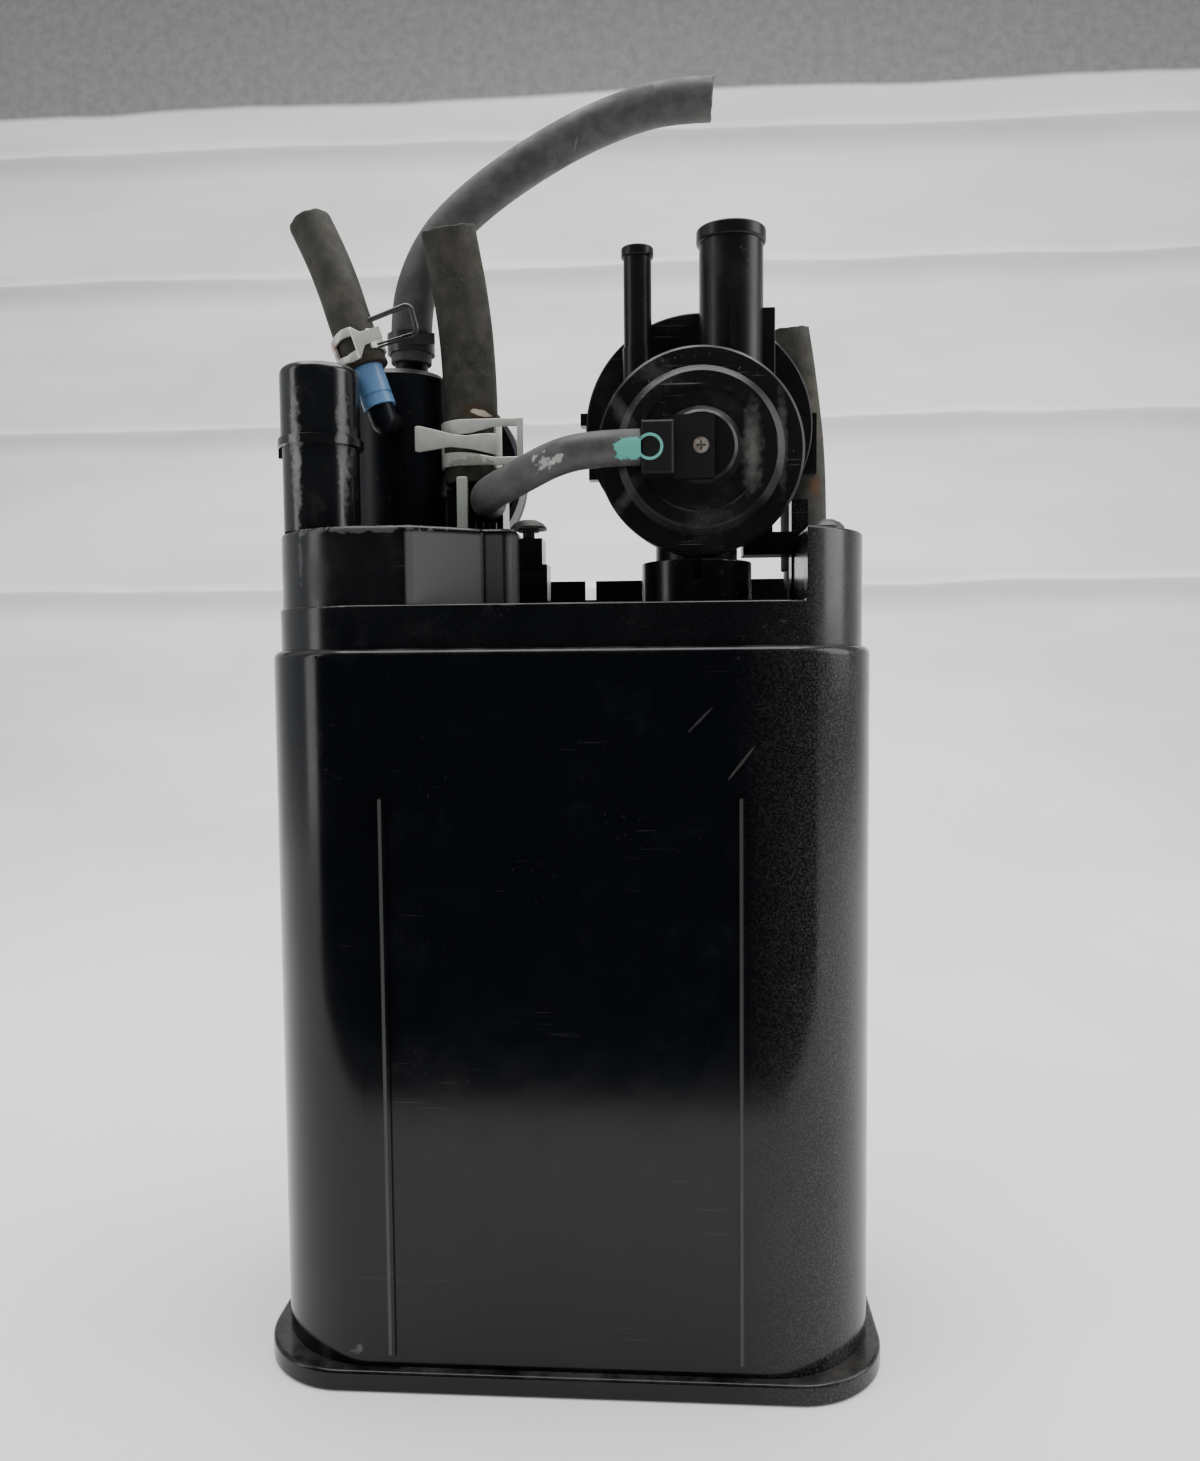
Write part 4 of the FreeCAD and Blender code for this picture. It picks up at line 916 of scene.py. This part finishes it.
CARBON = Finish("activated_carbon", (0.012, 0.012, 0.013), grey(0.05), 0.9, 420, gloss=(0.6, 0.95),
                bump=(0.9, 1.0))
PLATE = Finish("plate_plastic", grey(0.03), gloss=(0.4, 0.7), dust=(0.3, 0.1, 0.3))
SPRING = Finish("spring_steel", (0.55, 0.55, 0.56), gloss=(0.22, 0.45), metallic=1.0, dust=(0, 0, 0))
FOAM = Finish("foam", (0.08, 0.08, 0.085), grey(0.02), 0.9, 1300, gloss=(0.9, 1.0), bump=(0.9, 0.6))
SCREW = Finish("screw_metal", (0.30, 0.28, 0.25), (0.12, 0.09, 0.06), 0.7, 500, gloss=(0.35, 0.7),
               metallic=0.3, dust=(0.1, 0.1, 0.1))
HOSE = Finish("hose_rubber", (0.040, 0.041, 0.040), (0.075, 0.075, 0.072), 0.8, 190, gloss=(0.5, 0.85),
              specular=0.38, dust=(0.3, 0.15, 0.5), dust_colour=(0.15, 0.15, 0.145), wear=(0.7, 0.8),
              bump=(0.35, 0.3), spots=(
                  Spot((-6.5, 1.5, 388.3), 1.9, grey(0.007), 0.9, (1, 1, 4), turn=1.0, ragged=0.4),
                  Spot((1.9, 1, 393), 3.4, (0.14, 0.14, 0.135), 0.7, (1, 1, 12), turn=1.2, ragged=0.4),
                  Spot((-5.4, -44.5, 280.6), 3.0, (0.4, 0.4, 0.38), 0.7, (1, 0.5, 1), ragged=1.0),
                  Spot((-0.7, -46, 281.8), 1.7, (0.4, 0.4, 0.38), 0.7, (1, 0.5, 1), ragged=1.2),
                  Spot((20.9, -48, 283.9), 3.7, (0.09, 0.36, 0.30), 0.95, (0.8, 0.4, 1), 0.0, 0.12, 0.3)))
AGED = Finish("aged_hose_rubber", (0.017, 0.017, 0.014), (0.046, 0.042, 0.033), 0.9, 170, gloss=(0.6, 0.9),
              specular=0.28, dust=(0.3, 0.16, 0.8), dust_colour=(0.13, 0.125, 0.10), wear=(0.5, 1.0),
              worn_colour=(0.08, 0.072, 0.058), bump=(0.45, 0.35), spots=(
                  Spot((-29.4, -11, 303.7), 6.5, (0.045, 0.026, 0.013), 0.7, (0.9, 0.5, 2), turn=-0.15),
                  Spot((-29.0, -11, 303.5), 3.4, (0.45, 0.40, 0.33), 0.95, (0.9, 0.5, 3), -0.15, 0.2),
                  Spot((82.5, 14, 281.5), 3.0, (0.10, 0.045, 0.02), 0.7, (1, 0.5, 0.6), soft=0.8, ragged=0.4),
                  Spot((80.4, 14, 300.5), 9, (0.10, 0.095, 0.07), 0.5, (2, 0.5, 1), ragged=0.7),
                  Spot((-65.0, -24, 317), 7, (0.03, 0.024, 0.016), 0.7, (0.6, 0.4, 1.6), ragged=0.7)))
CLAMP = Finish("clamp_steel", (0.60, 0.61, 0.56), (0.46, 0.45, 0.40), 0.5, 260, gloss=(0.35, 0.6),
               metallic=0.35, dust=(0.05, 0.06, 0.15), worn_colour=(0.35, 0.28, 0.2), spots=(
                   Spot((-71.5, -19, 322.5), 4.2, (0.48, 0.22, 0.13), 0.7, ragged=0.9),
                   Spot((-33, -12, 287), 4, (0.20, 0.17, 0.13), 0.6, (0.5, 0.5, 2), ragged=0.9)))
DARK_CLAMP = Finish("dark_clamp_steel", (0.03, 0.03, 0.032), gloss=(0.3, 0.55), metallic=0.5,
                    dust=(0.5, 0.15, 0.4), dust_colour=grey(0.3))
TEAL = Finish("teal_paint", (0.10, 0.38, 0.32), (0.05, 0.2, 0.17), 0.5, gloss=(0.5, 0.8), dust=(0, 0, 0))


# ---- the canister ----------------------------------------------------------------------------
@dataclass
class Case:
    """The tall moulded case, its welded cover and what is sealed inside."""

    def build(self) -> None:
        """Dresses the case and its contents."""
        dress(CASE, "canister_case", "bottom_cover")
        dress(FELT, "main_upper_felt", "main_lower_felt", "second_upper_felt", "second_lower_felt")
        dress(CARBON, "main_carbon_bed", "second_carbon_bed")
        dress(PLATE, "main_pressure_plate", "second_pressure_plate")
        flexing(SPRING, "main_plate_springs", "main_plate", Way.UP)
        flexing(SPRING, "second_plate_spring", "second_plate", Way.UP)


@dataclass
class Deck:
    """The top cover, the manifold on it and its fastenings."""

    def build(self) -> None:
        """Dresses the deck."""
        dress(DECK, "top_cover", "inlet_manifold")
        dress(CLIP, "push_clips")
        dress(PALE, "locating_tab")


@dataclass
class FreshAir:
    """The fresh-air port, the air filter and the vent valve behind it."""

    def build(self) -> None:
        """Dresses the port, filter and vent valve."""
        dress(PORT, "fresh_air_port")
        dress(HOUSING, "filter_housing", "filter_cap", "vent_housing", "vent_cover")
        dress(FOAM, "air_filter_foam")
        dress(PLATE, "vent_poppet")
        flexing(MEMBRANE, "vent_diaphragm", "vent_poppet", Way.BACK)
        flexing(SPRING, "vent_spring", "vent_poppet", Way.FRONT)
        dress(BLUE, "check_valve")
        dress(PLATE, "check_disc")


@dataclass
class PressureValve:
    """The round diaphragm valve with its two beaded pipes."""

    def build(self) -> None:
        """Dresses the valve."""
        dress(VALVE, "valve_body", "valve_front_cover", "valve_back_cover")
        dress(SCREW, "adjusting_screw")
        dress(MEMBRANE, "neck_o_ring")
        dress(PLATE, "valve_poppet")
        flexing(MEMBRANE, "valve_diaphragm", "valve_poppet", Way.BACK)
        flexing(SPRING, "valve_spring", "valve_poppet", Way.BACK)


@dataclass(frozen=True)
class Cut:
    """A hose's knife-cut end: how far it slants and which way."""

    slant: float
    turn: float


@dataclass(frozen=True)
class Swelling:
    """Where a hose is stretched over its fitting: the middle, width and rise of a bell curve."""

    middle: float
    width: float
    rise: float


@dataclass
class Hose:
    """One cut rubber hose, a wall carried along a smooth route. Its points are in millimetres."""

    name: str
    points: tuple[Point, ...]
    outer: float
    bore: float
    finish: Finish
    reference: Point = (0, 1, 0)
    cut: Cut = Cut(0.6 * MM, 0.5)
    swellings: tuple[Swelling, ...] = ()
    free: bool = False
    columns: int = 44

    def surface(self, route: Route) -> Patch:
        """The hose's wall: a loop of (length, radius) points carried along the route.

        The radius grows by rise * exp(-((s - middle) / width)^2) at each swelling, and varies by about a
        percent along and around. The cut end is drawn back by slant * (1 - cos(angle - turn)) / 2.

        Args:
            route: the hose's route.

        Returns:
            A closed patch.
        """
        lip, step, worn, drawn_back = 0.5 * MM, 1.1 * MM, 9 * MM, 0.24 * MM
        corner = np.split(soften([(0, self.bore), (0, self.outer), (route.length, self.outer),
                                  (route.length, self.bore)], lip, 4), 4)
        count = int(route.length / step)
        outside = np.stack([np.linspace(lip, route.length - lip, count), np.full(count, self.outer)], 1)
        inside = np.stack([np.linspace(route.length - lip, lip, count // 2),
                           np.full(count // 2, self.bore)], 1)
        loop = np.concatenate([corner[0], corner[1], outside[1:-1], corner[2], corner[3], inside[1:-1]])
        angle = np.arange(self.columns) * FULL_TURN / self.columns
        s, radius = np.broadcast_arrays(loop[:, 0, None], loop[:, 1, None] + 0 * angle)
        s, radius = s.copy(), radius.copy()
        outward = radius > (self.outer + self.bore) / 2
        for bulge in self.swellings:
            radius += outward * bulge.rise * np.exp(-((s - bulge.middle) / bulge.width) ** 2)
        phase = len(self.name)
        oval, lobed = np.sin(2 * angle + s * 31 + phase), np.sin(3 * angle - s * 57)
        radius *= 1 + outward * (0.006 * oval + 0.005 * lobed)
        near_end = np.clip((s - route.length + worn) / worn, 0, 1) ** 2
        ragged = 0.12 * MM * (np.sin(7 * angle + phase) + np.sin(11 * angle))
        slanted = self.cut.slant * (1 - np.cos(angle - self.cut.turn)) / 2
        s -= near_end * (slanted + ragged * outward + drawn_back)
        centre, first, second = route.at(s)
        spoke = np.cos(angle)[:, None] * first + np.sin(angle)[:, None] * second
        return grid(centre + radius[..., None] * spoke, wrap_rows=True)

    def build(self) -> tuple[bpy.types.Object, Route]:
        """Makes the hose.

        Returns:
            The hose's object and its route.
        """
        line = spline_line([tuple(c * MM for c in point) for point in self.points])
        route = Route(line, self.reference)
        made = piece(f"{self.name}_rubber", "root", self.finish, [self.surface(route)], [self.name])
        return made, route


HOSES = (
    Hose("long_hose", ((-55.5, 6, 323.7), (-55.5, 6, 337.2), (-53.4, 7, 351), (-46.6, 9, 366),
                       (-35, 9.5, 377.6), (-18.2, 8.5, 388.6), (1.5, 7, 398.6), (21, 5.5, 405.2),
                       (35.7, 4.6, 407.4), (47.9, 4.6, 407.2)),
         6.9 * MM, 4 * MM, HOSE, cut=Cut(0.8 * MM, 1.5), free=True),
    Hose("main_hose", ((-33.6, -2, 281.2), (-33.6, -2, 303), (-34.2, -3, 325.8), (-35.9, -5, 343.1),
                       (-38.2, -7.5, 356.8), (-39.3, -9, 363.9)),
         8.9 * MM, 5.5 * MM, AGED, cut=Cut(1.2 * MM, 0.2),
         swellings=(Swelling(3 * MM, 3 * MM, 0.3 * MM),)),
    Hose("signal_hose", ((24.3, -42.5, 284.9), (12.1, -42.5, 284.9), (-0.6, -39.4, 283.6),
                         (-13.6, -33, 278.4), (-23.6, -27.5, 274.6), (-26.5, -18, 273.8), (-26.5, -9, 273.8)),
         5.4 * MM, 3 * MM, HOSE, reference=(0, 0, 1)),
    Hose("left_hose", ((-64.94, -17, 316.52), (-69.49, -17, 329.73), (-74.6, -15.2, 345.4),
                       (-81, -12.8, 359.6), (-84.3, -12, 365.8)),
         6.9 * MM, 4 * MM, AGED, cut=Cut(1.5 * MM, 2.6),
         swellings=(Swelling(0.0, 2.6 * MM, 0.5 * MM),)),
    Hose("right_hose", ((79.5, 22, 253), (79.5, 22, 272.7), (78.8, 22, 295.3), (76.8, 22, 312.6),
                        (74.8, 22, 327.6), (73, 22, 338)),
         7.9 * MM, 4 * MM, AGED, cut=Cut(2.4 * MM, 0.4)),
)


@dataclass
class SpringClamps:
    """The two wide spring clamps, bent from strip, on the main and the left hose.

    thick and main_width are in metres, the places in millimetres and the lean in radians.
    """

    thick: float = 0.9 * MM
    main_width: float = 15 * MM
    main_spot: Point = (-33.6, -2, 286.2)
    left_foot: Point = (-60.7, -17, 304.2)
    left_lean: float = math.radians(19)
    left_up: float = 14.6

    def main(self) -> list[Patch]:
        """The main hose's clamp: a band behind, two arms that cross to the right and a tongue to the left.

        Returns:
            Its patches, about an axis that stands on the band's lower edge.
        """
        radius, far, width, bar_width = 9.65 * MM, 18.6 * MM, self.main_width, 2 * MM
        band = strip(wrap(radius, 62, 290), 0.0, width, self.thick)
        front = np.linspace(0.6 * MM, far, 24)[:, None] * (1, 0) + (0, -radius)
        arm = np.concatenate([wrap(radius, -76, 0), front])
        # both arms narrow along their run, in millimetres, towards the bar that joins them
        run = np.concatenate([[0], np.cumsum(np.linalg.norm(np.diff(arm, axis=0), axis=1))]) / MM
        narrowing = (0, 14, 22)
        upper = strip(arm, width - np.interp(run, narrowing, (6.2, 4.6, 2.6)) * MM, width, self.thick)
        lower = strip(arm, 0.0, np.interp(run, narrowing, (5.0, 4.2, 2.6)) * MM, self.thick)
        bar = block((far - bar_width, -radius - self.thick / 2, 0.0), (far, -radius + self.thick / 2, width),
                    0.3 * MM)
        back = -0.9 * MM
        left = np.linspace(-0.6 * MM, -16.6 * MM, 24)[:, None] * (1, 0) + (0, -radius + back)
        tongue = np.concatenate([wrap(radius - back, 74, 0), left])
        tongue[:, 1] += np.interp(np.arange(len(tongue)), (0, 40, 48), (0, 0, back))
        # the tongue rises a little to the left, is narrowest near the hose and flares at its tip
        x = tongue[:, 0] / MM
        middle = np.interp(x, (-17, -6, 0, 9), (8.6, 8.0, 7.4, 7.4)) * MM
        reach = np.interp(x, (-16.6, -15.6, -9, -5, 0, 5, 9), (3.9, 4.3, 3.0, 2.1, 2.1, 2.9, 3.6)) * MM
        return [band, upper, lower, bar, strip(tongue, middle - reach, middle + reach, self.thick)]

    def left_plate(self) -> list[Patch]:
        """The left hose's clamp: a front plate with a window, that narrows to a tongue, and a band behind.

        Returns:
            Its patches, about an axis that leans with the hose.
        """
        radius = 7.75 * MM
        band = strip(wrap(radius, 40, 250), 2.0 * MM, 8.4 * MM, self.thick)
        start, window_start, window_end = -100, -52, 0.2
        bent = wrap(radius, start, 0)
        tongue = np.linspace(0.4, 9.6, 16)[:, None] * (MM, 0) + (0, -radius)
        plate = np.concatenate([bent, tongue])
        x = plate[:, 0] / MM
        turn = start * (1 - np.arange(len(plate)) / (len(bent) - 1))
        # the plate's edges and the window's, in millimetres
        stations, window_stations = (-7.7, -2, 1.0, 3.4, 9.6), (-6.6, -3, 0.4)
        top = np.interp(x, stations, (9.0, 10.2, 10.0, 7.4, 7.0))
        foot = np.interp(x, stations, (0.6, -0.6, -0.3, 3.0, 3.4))
        open_top = np.interp(x, window_stations, (6.4, 7.4, 7.2))
        open_foot = np.interp(x, window_stations, (2.8, 2.0, 2.6))
        left, right = turn < window_start, x > window_end
        window = ~left & ~right
        window[np.flatnonzero(left)[-1]] = window[np.flatnonzero(right)[0]] = True
        parts = ((left, foot, top), (right, foot, top), (window, open_top, top), (window, foot, open_foot))
        return [band] + [strip(plate[part], low[part] * MM, high[part] * MM, self.thick)
                         for part, low, high in parts]

    def left_loop(self) -> list[Patch]:
        """The loop that the left clamp's tongue is squeezed towards, an oval wire in the front plane.

        Returns:
            Its patches, about an axis that leans with the hose.
        """
        half_width, half_thick, front = 0.85, 0.75, -8.2
        bend = 2.0
        corners = soften([(7.2, 1.2), (20.6, 0.4), (21.4, 9.8), (7.6, 9.6)], [0, bend, bend, 0], 8,
                         closed=False)
        ahead = np.gradient(corners, axis=0)
        ahead /= np.linalg.norm(ahead, axis=1)[:, None]
        side = np.stack([-ahead[:, 1], ahead[:, 0]], 1)
        angle = np.linspace(0, FULL_TURN, 12, endpoint=False)
        spread = corners[:, None] + side[:, None] * (half_width * np.cos(angle))[:, None]
        depth = np.broadcast_to(front + half_thick * np.sin(angle), spread.shape[:2])
        return [grid(np.stack([spread[..., 0], depth, spread[..., 1]], -1) * MM, caps=True)]

    def build(self) -> None:
        """Places both clamps on their hoses."""
        spot = np.array(self.main_spot) * MM
        piece("main_clamp_strip", "root", CLAMP, [patch.moved(spot) for patch in self.main()],
              ["main_hose_clamp"])
        lean = Matrix.Rotation(-self.left_lean, 4, "Y")
        up = self.left_up * np.array((-math.sin(self.left_lean), 0, math.cos(self.left_lean)))
        spot = (np.array(self.left_foot) + up) * MM
        piece("left_clamp_plate", "root", CLAMP, [patch.moved(spot, lean) for patch in self.left_plate()],
              ["left_hose_clamp"])
        # the loop is drawn in the long hose clamp's dark finish, much darker than its own plate
        piece("left_clamp_loop", "root", DARK_CLAMP, [patch.moved(spot, lean) for patch in self.left_loop()],
              ())


@dataclass
class PaintRing:
    """A painted inspection ring on the signal port's block, in millimetres."""

    centre: Point = (26.9, -46.7, 284.3)
    radius: float = 3.5
    half_width: float = 0.42
    half_height: float = 0.12

    def build(self) -> None:
        """Makes a thin ring of oval section that lies on the block's face."""
        angle = np.linspace(0, FULL_TURN, 12, endpoint=False)
        section = np.stack([self.radius + self.half_width * np.cos(angle),
                            self.half_height * np.sin(angle)], 1)
        ring = turned(section * MM, np.array(self.centre) * MM, Way.FRONT, 64)
        piece("paint_ring", "root", TEAL, [ring], ())


@dataclass
class Hoses:
    """The five cut hoses and the long one's clamp."""

    hoses: tuple[Hose, ...] = HOSES
    free_diameter: float = 14 * MM

    def build(self) -> None:
        for hose in self.hoses:
            made, route = hose.build()
        dress(DARK_CLAMP, "long_hose_clamp")


# ---- studio ----------------------------------------------------------------------------------
@dataclass(frozen=True)
class Cloth(Finish):
    """White cloth that hangs in level folds from a grey wall."""

    folds: tuple[float, ...] = (0.34, 0.62, 0.885, 1.10)
    lip: float = 0.012
    wall: float = 1.155
    glow: float = 0.16

    def wire(self, wires: Wires, shader: bpy.types.Node) -> None:
        """Shades the cloth by its height: each fold has a shadow below and a bright lip above.

        Args:
            wires: the material's nodes.
            shader: its Principled shader.
        """
        place = wires.coordinates()
        axes = wires.node("ShaderNodeSeparateXYZ")
        wires.feed(axes.inputs[0], place)
        sag = wires.noise(wires.stretched(place, (1.0, 0.2, 1.5)), 1.3, 3.0, 0.55)
        sagging = wires.math("MULTIPLY", wires.math("SUBTRACT", sag, 0.5), 0.05)
        height = wires.math("ADD", axes.outputs["Z"], sagging)
        creases = wires.noise(wires.stretched(place, (0.7, 0.4, 3.0)), 3.2, 4.0)
        shade: Value = wires.window(creases, 0.3, 0.7, 0.82, 0.95)
        for fold in self.folds:
            away = wires.math("ABSOLUTE", wires.math("SUBTRACT", height, fold))
            under = wires.window(height, fold - 5 * self.lip, fold - self.lip, 1.0, 0.72)
            over = wires.window(height, fold - self.lip, fold)
            shade = wires.math("MULTIPLY", shade, wires.math("MAXIMUM", under, over))
            shade = wires.math("MULTIPLY", shade, wires.window(away, 0.0, self.lip, 1.14, 1.0))
        cloth = wires.blend(shade, (0.0, 0.0, 0.0), self.colour)
        wall = wires.window(wires.noise(place, 60, 5.0, 0.7), 0.3, 0.7)
        top = wires.window(height, self.wall, self.wall + self.lip)
        colour = wires.blend(top, cloth, wires.blend(wall, (0.20, 0.20, 0.195), (0.26, 0.26, 0.255)))
        wires.feed(shader.inputs["Base Color"], colour)
        shader.inputs["Roughness"].default_value = self.gloss[1]
        wires.feed(shader.inputs["Emission Color"], colour)
        shader.inputs["Emission Strength"].default_value = self.glow


@dataclass
class Studio:
    """A pale sweep, soft lights and the camera. Its lengths are in metres and its angles in degrees."""

    eye: Point = (0.0330, -0.3728, 0.2205)
    heading: float = 3.76
    dip: float = 3.39
    roll: float = -0.51
    lens: float = 27.10
    card_low: Point = (-0.46, -0.273, 0.0)
    card_high: Point = (0.42, -0.273, 0.9)
    floor_reach: float = 3.0
    sky: Colour = (0.8, 0.82, 0.85)
    sky_strength: float = 0.75

    def camera(self) -> None:
        """The camera: level, then dipped, turned and rolled a little."""
        data = bpy.data.cameras.new("camera")
        data.lens, data.sensor_width, data.sensor_fit = self.lens, 36, "AUTO"
        data.clip_start = 0.01
        made = bpy.data.objects.new("camera", data)
        bpy.context.scene.collection.objects.link(made)
        made.matrix_world = (Matrix.Translation(self.eye)
                             @ Matrix.Rotation(math.radians(self.heading), 4, "Z")
                             @ Matrix.Rotation(math.radians(90 - self.dip), 4, "X")
                             @ Matrix.Rotation(math.radians(self.roll), 4, "Z"))
        bpy.context.scene.camera = made

    def sweep(self) -> None:
        """A pale floor that curves up behind: the profile (y, z) is carried along X."""
        profile = soften([(-2.5, 0), (1.5, 0), (1.5, 2.6)], [0, 0.9, 0], 16, closed=False)
        across = np.array((-self.floor_reach, self.floor_reach))
        points = np.stack(np.broadcast_arrays(across, profile[:, 0, None], profile[:, 1, None]), -1)
        patch = grid(points, wrap_columns=False)
        mesh = bpy.data.meshes.new("floor")
        mesh.from_pydata(patch.points.tolist(), [], patch.quads.tolist())
        mesh.shade_smooth()
        mesh.materials.append(Cloth("floor_cloth", (0.93, 0.93, 0.91), gloss=(0.8, 0.9),
                                    specular=0.2).material())
        made = bpy.data.objects.new("floor", mesh)
        bpy.context.scene.collection.objects.link(made)

    def card(self) -> None:
        """A dark card behind the camera, seen only in the gloss."""
        mesh = bpy.data.meshes.new("card")
        (left, near, low), (right, _, high) = self.card_low, self.card_high
        mesh.from_pydata([(left, near, low), (right, near, low), (right, near, high), (left, near, high)], [],
                         [(0, 1, 2, 3)])
        mesh.materials.append(Finish("card_cloth", grey(0.01), gloss=(0.9, 1.0), dust=(0, 0, 0),
                                     wear=(0, 0), specular=0.0).material())
        made = bpy.data.objects.new("card", mesh)
        bpy.context.scene.collection.objects.link(made)
        # it neither shades nor lights the object
        made.visible_camera = made.visible_shadow = made.visible_diffuse = False

    def lamp(self, name: str, at: Point, aim: Point, size: tuple[float, float], power: float) -> None:
        """A soft rectangular light.

        Args:
            name: its name.
            at: where it is.
            aim: what it looks at.
            size: its width and height.
            power: watts.
        """
        data = bpy.data.lights.new(name, "AREA")
        data.shape, data.size, data.size_y, data.energy = "RECTANGLE", *size, power
        made = bpy.data.objects.new(name, data)
        bpy.context.scene.collection.objects.link(made)
        made.location = at
        made.rotation_euler = (Vector(aim) - Vector(at)).to_track_quat("-Z", "Y").to_euler()

    def build(self) -> None:
        """Sets up the camera, floor and lights."""
        self.camera()
        self.sweep()
        self.card()
        self.lamp("overhead", (0.0, 0.1, 1.5), (0, 0, 0.2), (1.4, 1.2), 30)
        self.lamp("right", (1.1, -0.1, 0.7), (0, 0, 0.2), (0.6, 1.0), 7)
        self.lamp("left", (-1.0, -0.45, 0.5), (0, 0, 0.2), (0.25, 1.0), 2.2)
        world = bpy.data.worlds.new("studio")
        world.use_nodes = True
        world.node_tree.nodes["Background"].inputs["Color"].default_value = (*self.sky, 1)
        world.node_tree.nodes["Background"].inputs["Strength"].default_value = self.sky_strength
        bpy.context.scene.world = world


def main() -> None:
    """Builds the studio and each sub-assembly in turn."""
    logging.basicConfig(level=logging.INFO, format="%(message)s")
    for assembly in (Studio(), Hoses(), SpringClamps(), Case(), Deck(), FreshAir(), PressureValve(),
                     PaintRing()):
        assembly.build()
        LOG.info("%s built", type(assembly).__name__)


if __name__ == "__main__":
    main()
